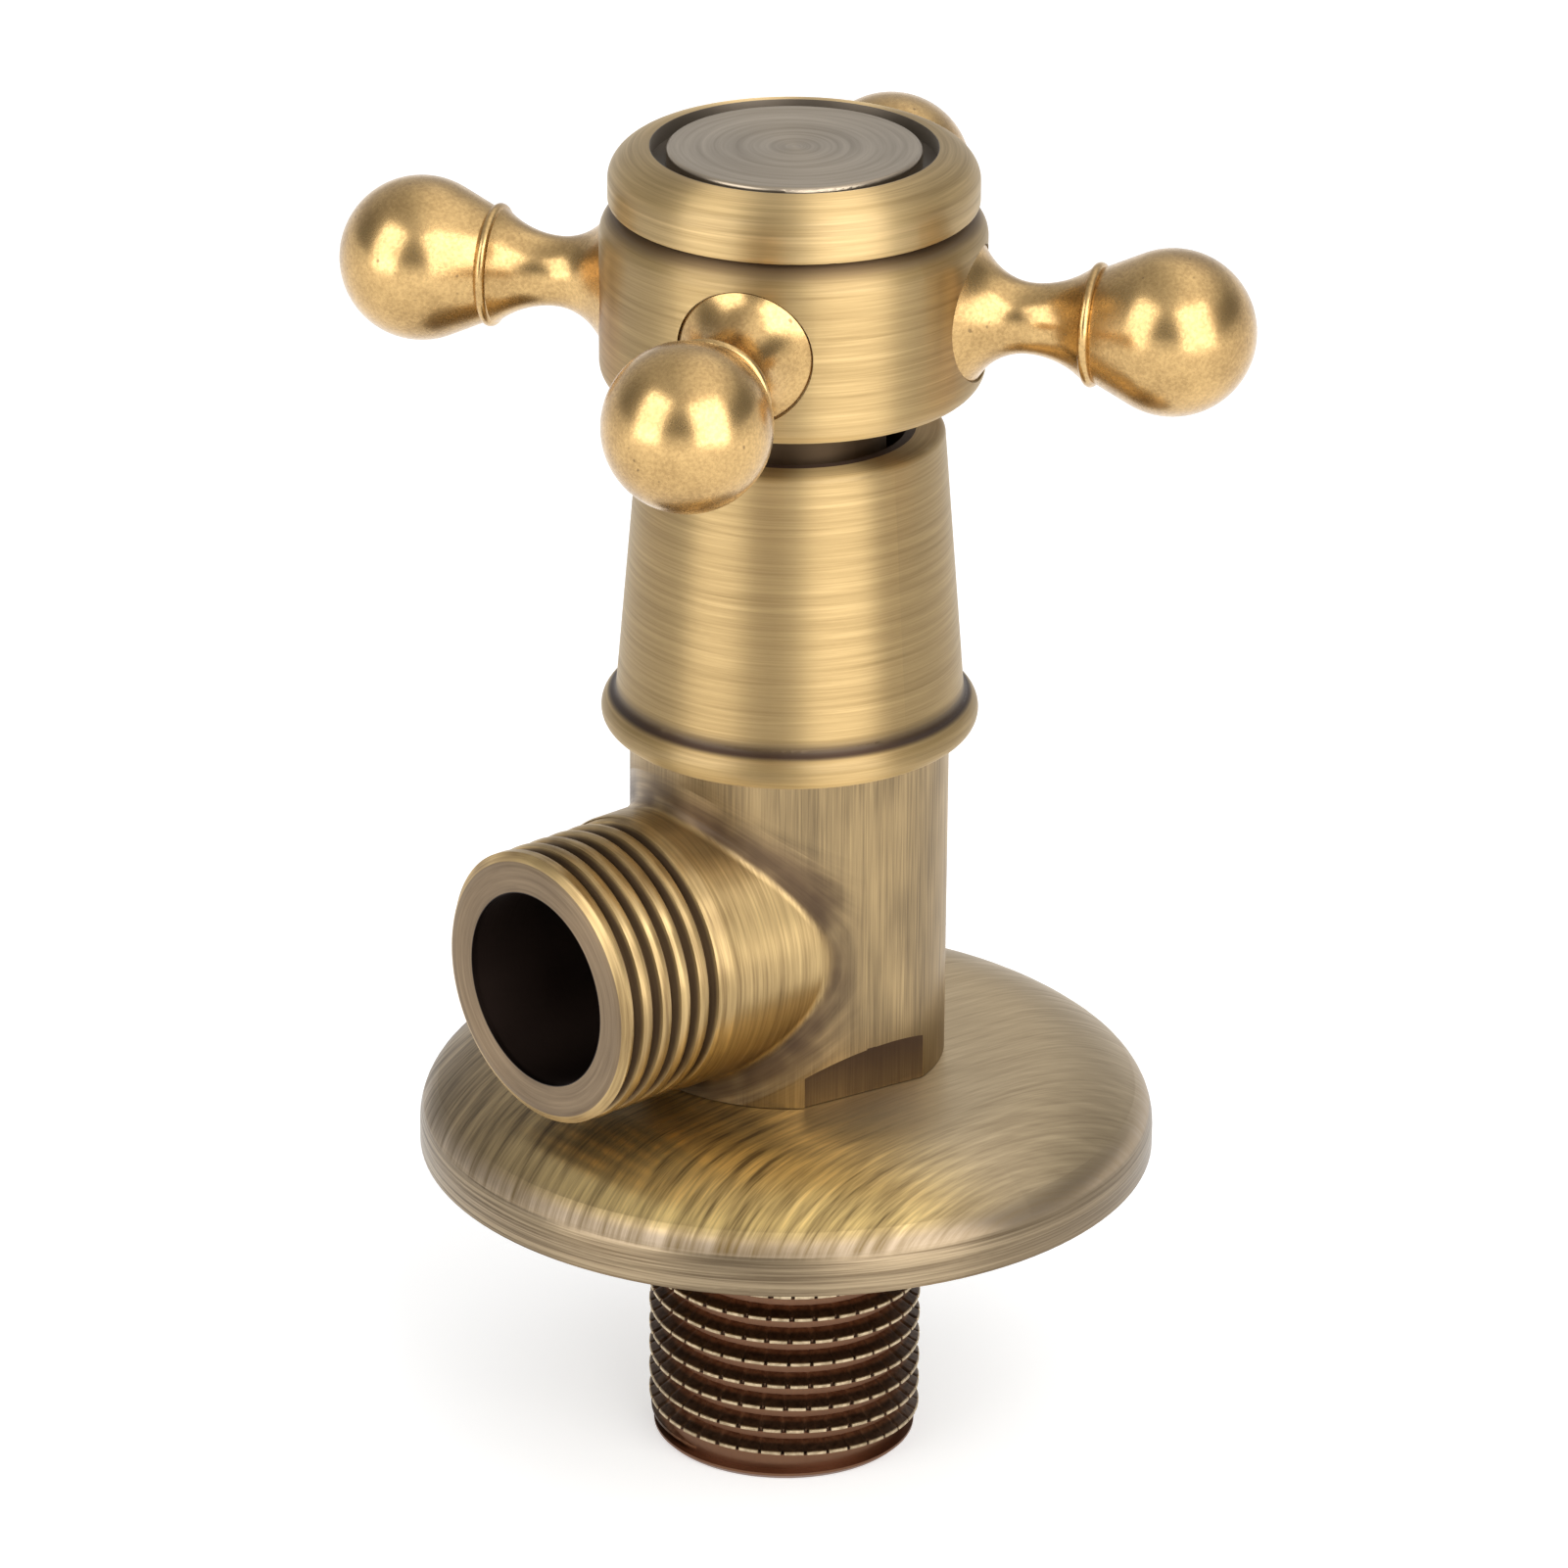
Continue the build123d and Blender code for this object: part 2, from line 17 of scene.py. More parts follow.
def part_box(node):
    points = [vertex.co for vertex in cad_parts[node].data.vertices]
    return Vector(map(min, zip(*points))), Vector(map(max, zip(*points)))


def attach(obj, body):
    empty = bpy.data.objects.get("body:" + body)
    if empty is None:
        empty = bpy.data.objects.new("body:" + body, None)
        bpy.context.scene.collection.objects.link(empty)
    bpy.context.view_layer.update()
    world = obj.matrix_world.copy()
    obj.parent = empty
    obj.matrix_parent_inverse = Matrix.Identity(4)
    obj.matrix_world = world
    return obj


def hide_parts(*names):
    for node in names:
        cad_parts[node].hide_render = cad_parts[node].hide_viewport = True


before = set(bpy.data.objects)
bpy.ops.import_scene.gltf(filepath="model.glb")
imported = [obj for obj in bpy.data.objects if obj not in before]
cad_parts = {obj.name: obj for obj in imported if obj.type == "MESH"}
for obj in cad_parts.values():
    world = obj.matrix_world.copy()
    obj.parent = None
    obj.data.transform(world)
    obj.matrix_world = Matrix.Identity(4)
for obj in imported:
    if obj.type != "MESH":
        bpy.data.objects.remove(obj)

scene = bpy.context.scene
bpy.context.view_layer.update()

# %% [markdown]
# ## Sizes
# Everything below is in metres. Outer sizes are read from the boxes of the CAD pieces, so the two
# can't drift apart. What a box doesn't tell gets a name and a number: first the form of the G 1/2
# pipe thread, 14 turns to the inch with a depth of 1.162 mm, and later bores, flats and edges.

# %% Sizes taken from the frame
MM = 0.001

body_low, body_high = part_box("valve_body")
hub_low, hub_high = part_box("handle_hub")
cap_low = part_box("handle_cap")[0]
sleeve_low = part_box("bonnet_sleeve")[0]
flange_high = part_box("wall_flange")[1]

body_radius = body_high[0]
hub_radius = hub_high[0]

thread_pitch = 25.4 * MM / 14
thread_crest = 20.955 * MM / 2
thread_depth = 1.162 * MM
thread_root = thread_crest - thread_depth
print(f"body radius {body_radius / MM:.2f} mm, thread pitch {thread_pitch / MM:.3f} mm")

# %% [markdown]
# ## Camera
# The photograph looks down on the valve with a long lens from its front right. The same direction,
# distance and lens give the same ellipses and the same slight convergence. The lens is shifted a
# little because the object doesn't sit in the middle of the picture.

# %% Camera
def placed(name, data):
    """An object with that data, in the scene."""
    piece = bpy.data.objects.new(name, data)
    scene.collection.objects.link(piece)
    return piece


view_azimuth = radians(48.6)
view_elevation = radians(23.19)
view_distance = 633.5 * MM
view_target = Vector((0, 0, 55 * MM))
view_roll = radians(0.487)
photo_width = 1601
focal_pixels = 8587
shift_pixels = (-5.28, -14.17)

camera_data = bpy.data.cameras.new("camera")
camera_data.sensor_width = 36
camera_data.lens = focal_pixels * camera_data.sensor_width / photo_width
camera_data.shift_x = shift_pixels[0] / photo_width
camera_data.shift_y = shift_pixels[1] / photo_width
camera_data.clip_start = 10 * MM
camera = placed("camera", camera_data)
towards_camera = Vector(
    (
        sin(view_azimuth) * cos(view_elevation),
        -cos(view_azimuth) * cos(view_elevation),
        sin(view_elevation),
    )
)
camera.location = view_target + view_distance * towards_camera
aim = towards_camera.to_track_quat("Z", "Y").to_matrix().to_4x4()
camera.rotation_euler = (aim @ Matrix.Rotation(view_roll, 4, "Z")).to_euler()
scene.camera = camera
print(f"lens {camera_data.lens:.1f} mm, shift {camera_data.shift_x:.4f}, {camera_data.shift_y:.4f}")

# %% [markdown]
# ## Node helpers
# Shader and geometry trees are built with the same few moves: add a node, set its sockets, link two
# sockets. A helper that takes values or links for each input keeps the later cells short, and most
# of them find the tree by themselves, from the nodes that their inputs come from.

# %% Node helpers
def feed(socket, value):
    """Gives an input its value, or links it to the output of another node."""
    if isinstance(value, bpy.types.NodeSocket):
        socket.id_data.links.new(value, socket)
    else:
        socket.default_value = value


def home(*values):
    """The node tree of the first of the values that is an output of a node."""
    return next(value.id_data for value in values if isinstance(value, bpy.types.NodeSocket))


def add_node(tree, kind, inputs=None, **settings):
    """One node with its settings, whose inputs are values or the outputs of other nodes."""
    node = tree.nodes.new(kind)
    for name, value in settings.items():
        setattr(node, name, value)
    for key, value in (inputs or {}).items():
        feed(node.inputs[key], value)
    return node


def math(operation, *values, clamp=False):
    """The output of a Math node."""
    node = add_node(home(*values), "ShaderNodeMath", dict(enumerate(values)), operation=operation)
    node.use_clamp = clamp
    return node.outputs[0]


def opposite(value):
    """1 less the value."""
    return math("SUBTRACT", 1.0, value)


def times(*factors):
    """The product of some values."""
    return reduce(lambda a, b: math("MULTIPLY", a, b), factors)


def largest(*values):
    """The largest of some values."""
    return reduce(lambda a, b: math("MAXIMUM", a, b), values)


def vector_math(operation, *vectors):
    """The result of a Vector Math node: a vector, or the value of a length or a dot product."""
    inputs = dict(enumerate(vectors))
    node = add_node(home(*vectors), "ShaderNodeVectorMath", inputs, operation=operation)
    return node.outputs["Value" if operation in ("LENGTH", "DOT_PRODUCT") else "Vector"]


def split(vector):
    """The three parts of a vector."""
    return add_node(home(vector), "ShaderNodeSeparateXYZ", {"Vector": vector}).outputs


def join_parts(**parts):
    """A vector from its parts, called X, Y and Z, of which those left out are 0."""
    return add_node(home(*parts.values()), "ShaderNodeCombineXYZ", parts).outputs["Vector"]


def ramp(value, low, high, smooth=True):
    """0 below low and 1 above high, with a soft step between them."""
    step = add_node(
        home(value),
        "ShaderNodeMapRange",
        {"Value": value, "From Min": low, "From Max": high},
        interpolation_type="SMOOTHSTEP" if smooth else "LINEAR",
    )
    return step.outputs["Result"]


def mix(kind, sockets, output, share, first, second):
    """The output of a Mix node of that kind, whose inputs have those indexes."""
    inputs = {0: share, sockets[0]: first, sockets[1]: second}
    return add_node(home(share), "ShaderNodeMix", inputs, data_type=kind).outputs[output]


def mix_colour(share, first, second):
    """The first colour at a share of 0 and the second at 1."""
    return mix("RGBA", (6, 7), 2, share, first, second)


def mix_value(share, first, second):
    """The first value at a share of 0 and the second at 1."""
    return mix("FLOAT", (2, 3), 0, share, first, second)


def mix_vector(share, first, second):
    """The first vector at a share of 0 and the second at 1."""
    return mix("VECTOR", (4, 5), 1, share, first, second)


def new_tree(name, kind, inputs, outputs):
    """A node group with named inputs and outputs: (tree, its input node, its output node)."""
    tree = bpy.data.node_groups.new(name, kind)
    for label, socket, value in inputs:
        entry = tree.interface.new_socket(label, in_out="INPUT", socket_type=f"NodeSocket{socket}")
        if value is not None:
            entry.default_value = value
    for label, socket in outputs:
        tree.interface.new_socket(label, in_out="OUTPUT", socket_type=f"NodeSocket{socket}")
    return tree, tree.nodes.new("NodeGroupInput"), tree.nodes.new("NodeGroupOutput")


# %% [markdown]
# ## Mesh helpers
# Most pieces of a valve come off a lathe. A lathe in code takes the outline of a half section and
# turns it round an axis. Blender's Screw modifier could do it too, but with the mesh in hand the
# poles can be merged and a turned piece can be warped before its faces are made.

# %% Mesh helpers
smooth_limit = radians(30)


def finished_object(name, bm):
    """A smooth-shaded object at the origin with the mesh, whose sharp edges stay sharp."""
    bmesh.ops.remove_doubles(bm, verts=bm.verts, dist=0.0005 * MM)
    bmesh.ops.recalc_face_normals(bm, faces=bm.faces)
    mesh = bpy.data.meshes.new(name)
    bm.to_mesh(mesh)
    bm.free()
    mesh.shade_smooth()
    mesh.set_sharp_from_angle(angle=smooth_limit)
    return placed(name, mesh)


def turned(outline, steps, place=lambda along, radius, angle: (along, radius, angle)):
    """A bmesh of a closed outline of (along, radius) points turned round the local X axis."""
    bm = bmesh.new()
    rings = []
    for step in range(steps):
        angle = 2 * pi * step / steps
        ring = []
        for along, radius in outline:
            x, r, a = place(along, radius, angle)
            ring.append(bm.verts.new((x, r * cos(a), r * sin(a))))
        rings.append(ring)
    for step in range(steps):
        here, following = rings[step], rings[(step + 1) % steps]
        for i in range(len(outline)):
            j = (i + 1) % len(outline)
            if max(outline[i][1], outline[j][1]) > 0:
                bm.faces.new((here[i], here[j], following[j], following[i]))
    return bm


def arc(centre, radius, start, end, steps):
    """Points of an arc round centre from one angle to another, both in degrees."""
    span = [radians(start + (end - start) * i / steps) for i in range(steps + 1)]
    return [(centre[0] + radius * cos(a), centre[1] + radius * sin(a)) for a in span]


# %% [markdown]
# ## Body
# The real body is a brass forging, turned all over: a threaded tail, a thicker drum above it and a
# barrel that points sideways. The CAD model has plain cylinders where the threads are. Here both
# solids are turned again. The tail goes down to the root of its thread, which is added as a ridge,
# and the barrel keeps its full radius, because its thread is cut in as a groove. The meshes are fine
# and even, so that the cuts leave no long thin faces, which would streak a brushed finish.

# %% Body sizes
tail_thread_top = 24.5 * MM
tail_lead = 0.55 * MM
tail_edge = 0.35 * MM
tail_edge_radius = 10.1 * MM
shank_radius = 10.2 * MM
body_base = flange_high[2] + 0.05 * MM
body_top = sleeve_low[2]
inlet_bore_radius = 7 * MM
seat_height = 37 * MM
chamber_radius = 8.6 * MM
chamber_top = 51.5 * MM
spigot_bore_radius = 9.05 * MM

outlet_height = 44.2 * MM
outlet_tip = -body_low[1]
outlet_chamfer = 0.75 * MM
outlet_chamfer_length = 0.42 * MM
outlet_thread_length = 9.8 * MM
outlet_step = 0.3 * MM
outlet_bore_radius = 7.43 * MM
outlet_bore_depth = 13.4 * MM
outlet_port_radius = 5 * MM
barrel_radius = 10.65 * MM
barrel_fillet = 0.9 * MM

flat_distance = 10.7 * MM
flat_height = 4.25 * MM
flat_arc_radius = 12 * MM
flat_arc_side = 32
flat_arc_shift = 1.2 * MM
flat_turn = radians(-9.4)

lathe_steps = 192
facet = 0.5 * MM

# %% [markdown]
# ## Threads
# A screw thread is a profile that climbs a helix. Geometry Nodes draw it from its sizes: a spiral
# carries a profile, and at its ends the helix moves in or out, so that the thread runs out as it
# does under a die. Set Position presses the small notches that a knurled crest has.

# %% Thread tree
thread_tree, inlets, outlets = new_tree(
    "pipe_thread",
    "GeometryNodeTree",
    [
        ("Helix Radius", "Float", thread_root),
        ("Pitch", "Float", thread_pitch),
        ("Turns", "Float", 4.0),
        ("Steps", "Int", 96),
        ("Low", "Float", 0.0),
        ("High", "Float", thread_depth),
        ("Low Width", "Float", 1.5 * MM),
        ("High Width", "Float", 0.3 * MM),
        ("Run In", "Float", 0.2),
        ("Run Out", "Float", 0.2),
        ("Run Shift", "Float", 0.0),
        ("Notches", "Float", 0.0),
        ("Notch Depth", "Float", 0.0),
        ("Material", "Material", None),
    ],
    [("Geometry", "Geometry")],
)
tree = thread_tree
given = inlets.outputs
notch_narrowness = 0.9
crest_share = 0.8


def level_place(tree):
    """The geometry's own position, seen from the Z axis at the same height."""
    place = add_node(tree, "GeometryNodeInputPosition").outputs["Position"]
    return vector_math("MULTIPLY", place, (1, 1, 0))


def outward(tree, distance):
    """A vector of that length, pointing away from the Z axis at the geometry's own position."""
    unit = vector_math("NORMALIZE", level_place(tree))
    node = add_node(tree, "ShaderNodeVectorMath", {0: unit, "Scale": distance}, operation="SCALE")
    return node.outputs["Vector"]


helix = add_node(
    tree,
    "GeometryNodeCurveSpiral",
    {
        "Resolution": given["Steps"],
        "Rotations": given["Turns"],
        "Start Radius": given["Helix Radius"],
        "End Radius": given["Helix Radius"],
        "Height": times(given["Pitch"], given["Turns"]),
    },
)
along = add_node(tree, "GeometryNodeSplineParameter").outputs["Factor"]
turn_count = times(along, given["Turns"])
turns_left = math("SUBTRACT", given["Turns"], turn_count)
run_in = math("SUBTRACT", 1.0, math("DIVIDE", turn_count, given["Run In"]), clamp=True)
run_out = math("SUBTRACT", 1.0, math("DIVIDE", turns_left, given["Run Out"]), clamp=True)
shift = outward(tree, times(largest(run_in, run_out), given["Run Shift"]))
shifted = add_node(tree, "GeometryNodeSetPosition", {"Geometry": helix.outputs["Curve"], "Offset": shift})
counted = add_node(tree, "GeometryNodeCaptureAttribute", {"Geometry": shifted.outputs["Geometry"]})
counted.capture_items.new("FLOAT", "Turn")
tree.links.new(turn_count, counted.inputs["Turn"])
upright = add_node(
    tree, "GeometryNodeSetCurveNormal", {"Curve": counted.outputs["Geometry"]}, mode="Z_UP"
)
profile = add_node(
    tree,
    "GeometryNodeCurvePrimitiveQuadrilateral",
    {
        "Height": math("SUBTRACT", given["High"], given["Low"]),
        "Bottom Width": given["Low Width"],
        "Top Width": given["High Width"],
        "Offset": 0.0,
    },
    mode="TRAPEZOID",
)
inward = times(math("ADD", given["High"], given["Low"]), -0.5)
raised = add_node(
    tree,
    "GeometryNodeTransform",
    {
        "Geometry": profile.outputs["Curve"],
        "Translation": join_parts(X=inward),
        "Rotation": (0, 0, pi / 2),
    },
)
ridge = add_node(
    tree,
    "GeometryNodeCurveToMesh",
    {"Curve": upright.outputs["Curve"], "Profile Curve": raised.outputs["Geometry"], "Fill Caps": True},
)
pulse = times(counted.outputs["Turn"], given["Notches"], 2 * pi)
pulse = math("GREATER_THAN", math("COSINE", pulse), notch_narrowness)
press = outward(tree, times(given["Notch Depth"], -1.0))
crest_level = math("ADD", given["Helix Radius"], times(given["High"], crest_share))
on_crest = math("GREATER_THAN", vector_math("LENGTH", level_place(tree)), crest_level)
pressed = add_node(
    tree,
    "GeometryNodeSetPosition",
    {"Geometry": ridge.outputs["Mesh"], "Selection": times(pulse, on_crest), "Offset": press},
)
finished = add_node(
    tree,
    "GeometryNodeSetMaterial",
    {"Geometry": pressed.outputs["Geometry"], "Material": given["Material"]},
)
real = add_node(tree, "GeometryNodeRealizeInstances", {"Geometry": finished.outputs["Geometry"]})
tree.links.new(real.outputs["Geometry"], outlets.inputs["Geometry"])
print("pipe_thread:", len(tree.nodes), "nodes")

# %% [markdown]
# ## One ridge and two cutters
# The same tree makes a ridge, for the tail, and two cutters for the outlet: one for the groove,
# which runs off the end and stops in a square notch, and a shallow one that bevels the crests. In
# the photograph the tail's crests are further apart than the outlet's, so it has its own pitch.

# %% Grow the threads
def grown(name, tree, settings, place):
    """The result of a geometry tree as a plain mesh object, put in its place."""
    host = placed(name, bpy.data.meshes.new(name))
    modifier = host.modifiers.new(name, "NODES")
    modifier.node_group = tree
    for item in tree.interface.items_tree:
        if item.in_out == "INPUT" and item.name in settings:
            modifier[item.identifier] = settings[item.name]
    depsgraph = bpy.context.evaluated_depsgraph_get()
    result = bpy.data.meshes.new_from_object(host.evaluated_get(depsgraph))
    bpy.data.objects.remove(host)
    bm = bmesh.new()
    bm.from_mesh(result)
    bm.transform(place)
    print(f"{name}: {len(bm.faces)} faces, {bm.calc_volume() / MM**3:.1f} cubic mm")
    return finished_object(name, bm)


ridge_foot = 0.15 * MM
tail_notches = 37
tail_notch_depth = 0.3 * MM
tail_ridge_width = 1.6 * MM
tail_crest_width = 0.22 * MM
tail_thread_start = tail_ridge_width / 2
tail_pitch = 1.91 * MM
tail_start_angle = -88
tail_thread = grown(
    "tail_thread",
    thread_tree,
    {
        "Pitch": tail_pitch,
        "Turns": (tail_thread_top - tail_thread_start) / tail_pitch,
        "Steps": 12 * tail_notches,
        "Low": -ridge_foot,
        "Low Width": tail_ridge_width,
        "High Width": tail_crest_width,
        "Run In": 0.15,
        "Run Shift": -thread_depth,
        "Notches": tail_notches,
        "Notch Depth": tail_notch_depth,
    },
    Matrix.Translation((0, 0, tail_thread_start)) @ Matrix.Rotation(radians(tail_start_angle), 4, "Z"),
)

groove_depth = 1.0 * MM
groove_over = 0.3 * MM
groove_width = 1.06 * MM
groove_floor = 0.4 * MM
groove_turns = 5.214
groove_start_angle = -75
groove_start = 0.14 * MM
groove_slope = (groove_width - groove_floor) / groove_depth
groove_place = (
    Matrix.Translation((0, -outlet_tip - groove_start, outlet_height))
    @ Matrix.Rotation(-pi / 2, 4, "X")
    @ Matrix.Rotation(radians(groove_start_angle), 4, "Z")
)
groove_settings = {
    "Helix Radius": thread_crest - groove_depth,
    "Turns": groove_turns,
    "Steps": 192,
    "High": groove_depth + groove_over,
    "Low Width": groove_floor,
    "High Width": groove_floor + groove_slope * (groove_depth + groove_over),
    "Run In": 0.5,
    "Run Out": 0.001,
    "Run Shift": groove_depth,
}
groove_cutter = grown("groove_cutter", thread_tree, groove_settings, groove_place)

crest_depth = 0.16 * MM
crest_over = 0.08 * MM
crest_side = 0.26 * MM
crest_slope = crest_side / crest_depth
crest_settings = {
    **groove_settings,
    "Helix Radius": thread_crest - crest_depth,
    "High": crest_depth + crest_over,
    "Low Width": groove_width - 2 * groove_slope * crest_depth,
    "High Width": groove_width + 2 * (crest_side + crest_slope * crest_over),
}
crest_cutter = grown("crest_cutter", thread_tree, crest_settings, groove_place)

# %% [markdown]
# ## Turned solids
# A lathe outline gives each solid, and Booleans cut the thread into the barrel and join the two.
# The Manifold solver is the fast one, and it keeps closed meshes closed.

# %% Turn and join the body
def spaced(outline, longest):
    """The outline with extra points, so that none of its sides is longer than the longest."""
    points = []
    for here, following in zip(outline, outline[1:] + outline[:1]):
        parts = max(1, ceil(hypot(following[0] - here[0], following[1] - here[1]) / longest))
        for i in range(parts):
            points.append(tuple(a + (b - a) * i / parts for a, b in zip(here, following)))
    return points


def lathe(name, outline, turn):
    """A turned solid whose closed outline runs through (place along the axis, radius) points."""
    bm = turned(spaced(outline, facet), lathe_steps)
    bm.transform(turn)
    return finished_object(name, bm)


def boolean(target, tool, operation):
    """Applies a Boolean of two closed meshes to the target and removes the tool."""
    cut = target.modifiers.new("boolean", "BOOLEAN")
    cut.operation = operation
    cut.solver = "MANIFOLD"
    cut.object = tool
    depsgraph = bpy.context.evaluated_depsgraph_get()
    result = bpy.data.meshes.new_from_object(target.evaluated_get(depsgraph))
    target.modifiers.clear()
    target.data = result
    bpy.data.objects.remove(tool)


upright_axis = Matrix.Rotation(-pi / 2, 4, "Y")
outlet_axis = Matrix.Translation((0, 0, outlet_height)) @ Matrix.Rotation(-pi / 2, 4, "Z")
outlet_thread_start = outlet_tip - outlet_thread_length

valve_shell = lathe(
    "valve_shell",
    [
        (0, 0),
        (0, tail_edge_radius - tail_edge),
        (tail_edge, tail_edge_radius),
        (tail_lead, tail_edge_radius),
        (tail_lead, thread_root),
        (tail_thread_top, thread_root),
        (tail_thread_top, shank_radius),
        (body_base, shank_radius),
        (body_base, body_radius),
        (body_top, body_radius),
        (body_top, 0),
    ],
    upright_axis,
)
barrel = lathe(
    "barrel",
    [
        (0, 0),
        (0, barrel_radius),
        (outlet_thread_start - outlet_step, barrel_radius),
        (outlet_thread_start, thread_crest),
        (outlet_tip - outlet_chamfer_length, thread_crest),
        (outlet_tip, thread_crest - outlet_chamfer),
        (outlet_tip, 0),
    ],
    outlet_axis,
)
boolean(barrel, groove_cutter, "DIFFERENCE")
boolean(barrel, crest_cutter, "DIFFERENCE")
boolean(valve_shell, barrel, "UNION")

# %% [markdown]
# ## Wrench flats and bores
# Two flats near the foot of the drum take a wrench. They are milled, and the edge of the cut is an
# arc. In the photograph they are turned about 9 degrees round the axis. The bores are taken out as
# two turned plugs, one from above and one from the side.

# %% Cut the flats and the bores
def flat_cutter(turn):
    """A block beyond the flat on one side, under an arc."""
    centre = (flat_arc_shift, body_base + flat_height - flat_arc_radius)
    corners = arc(centre, flat_arc_radius, 90 - flat_arc_side, 90 + flat_arc_side, 36)
    corners += [(corners[-1][0], body_base - MM), (corners[0][0], body_base - MM)]
    bm = bmesh.new()
    near = [bm.verts.new((flat_distance, y, z)) for y, z in corners]
    far = [bm.verts.new((body_radius + MM, y, z)) for y, z in corners]
    bm.faces.new(near)
    bm.faces.new(far)
    for i in range(len(corners)):
        j = (i + 1) % len(corners)
        bm.faces.new((near[i], near[j], far[j], far[i]))
    bm.transform(Matrix.Rotation(flat_turn + turn, 4, "Z"))
    return finished_object("flat_cutter", bm)


for turn in (0, pi):
    boolean(valve_shell, flat_cutter(turn), "DIFFERENCE")

main_bore = lathe(
    "main_bore",
    [
        (-MM, 0),
        (-MM, inlet_bore_radius),
        (seat_height, inlet_bore_radius),
        (seat_height, chamber_radius),
        (chamber_top, chamber_radius),
        (chamber_top, spigot_bore_radius),
        (body_top + MM, spigot_bore_radius),
        (body_top + MM, 0),
    ],
    upright_axis,
)
boolean(valve_shell, main_bore, "DIFFERENCE")
outlet_bore = lathe(
    "outlet_bore",
    [
        (0, 0),
        (0, outlet_port_radius),
        (outlet_tip - outlet_bore_depth, outlet_port_radius),
        (outlet_tip - outlet_bore_depth, outlet_bore_radius),
        (outlet_tip + MM, outlet_bore_radius),
        (outlet_tip + MM, 0),
    ],
    outlet_axis,
)
boolean(valve_shell, outlet_bore, "DIFFERENCE")
print("body after the cuts:", len(valve_shell.data.polygons), "faces")

# %% [markdown]
# ## Fillet round the barrel
# The forging has a small fillet between barrel and drum. It is the path of a small ball that touches
# both cylinders: the ball's centre lies where the two, each grown by the ball's radius, cross. The
# fillet is a closed ring, part of which lies inside the metal, so it needs no Boolean.

# %% Add the fillet round the barrel
fillet_steps = 240
fillet_arc_points = 12
fillet_depth = 1.6


def fillet_section(angle):
    """One section of the fillet, in the plane through the ball's centre and its two contacts."""
    x = (barrel_radius + barrel_fillet) * sin(angle)
    rise = (barrel_radius + barrel_fillet) * cos(angle)
    y = -sqrt((body_radius + barrel_fillet) ** 2 - x * x)
    centre = Vector((x, y, outlet_height + rise))
    to_body = -Vector((x, y, 0)).normalized()
    to_barrel = -Vector((x, 0, rise)).normalized()
    between = to_body.angle(to_barrel)
    points = []
    for i in range(fillet_arc_points + 1):
        share = i / fillet_arc_points
        toward = (
            to_body * sin((1 - share) * between) + to_barrel * sin(share * between)
        ) / sin(between)
        points.append(centre + toward * barrel_fillet)
    corner = (to_body + to_barrel) / (1 + to_body.dot(to_barrel))
    return points + [centre + corner * barrel_fillet * fillet_depth]


fillet_bm = bmesh.new()
sections = [fillet_section(2 * pi * i / fillet_steps) for i in range(fillet_steps)]
rings = [[fillet_bm.verts.new(p) for p in section] for section in sections]
for i, ring in enumerate(rings):
    following = rings[(i + 1) % fillet_steps]
    for j in range(len(ring)):
        k = (j + 1) % len(ring)
        fillet_bm.faces.new((ring[j], ring[k], following[k], following[j]))
barrel_crease = finished_object("barrel_crease", fillet_bm)


def join(target, *others):
    """Adds the meshes of the other objects to the target's and removes them."""
    bm = bmesh.new()
    for piece in (target, *others):
        bm.from_mesh(piece.data)
    for piece in others:
        bpy.data.objects.remove(piece)
    bm.to_mesh(target.data)
    bm.free()
    target.data.shade_smooth()
    target.data.set_sharp_from_angle(angle=smooth_limit)


join(valve_shell, barrel_crease)
print("valve shell:", len(valve_shell.data.polygons), "faces")

# %% [markdown]
# ## Spokes
# Each spoke is one turning: a ball, a cone, a thin ridge, a slim throat and a flare that sits on the
# round hub. A flare turned on a lathe ends in a flat circle, but the hub is a cylinder, so the real
# foot is milled to a saddle. Here the lathe's points near the foot are moved along the spoke by the
# sag of the hub's surface at that width, and less and less towards the throat.

# %% Spoke sizes
spoke_height = 93.06 * MM
first_spoke = 33.6
spoke_names = ("right", "back", "left", "front")
ball_distance = 28.6 * MM
ball_radius = 6.146 * MM
cone_half_angle = 25
ridge_distance = 22.85 * MM
ridge_half_width = 0.4 * MM
ridge_radius = 4.6 * MM
ridge_foot_radius = 4.25 * MM
ridge_notch = 0.15 * MM
throat_distance = 18 * MM
throat_radius = 2.62 * MM
flare_radius = 4.29 * MM
flare_rim_radius = 5 * MM
flare_skirt = 0.5 * MM
spoke_steps = 128


# %% Turn the spokes
def circle_through(start, tangent_level, end):
    """Centre and radius of the arc that leaves start along the axis and ends at end."""
    across = end[0] - start[0]
    rise = end[1] - start[1]
    radius = (across * across + rise * rise) / (2 * rise)
    return (start[0], tangent_level + radius), radius


def arc_between(centre, radius, start, end, steps):
    """Points of the shorter arc from start to end round the centre, without its first point."""
    from_angle = Vector((start[0] - centre[0], start[1] - centre[1]))
    to_angle = Vector((end[0] - centre[0], end[1] - centre[1]))
    turn = from_angle.angle_signed(to_angle)
    points = []
    for i in range(1, steps + 1):
        a = -turn * i / steps
        x = from_angle.x * cos(a) - from_angle.y * sin(a)
        y = from_angle.x * sin(a) + from_angle.y * cos(a)
        points.append((centre[0] + x, centre[1] + y))
    return points


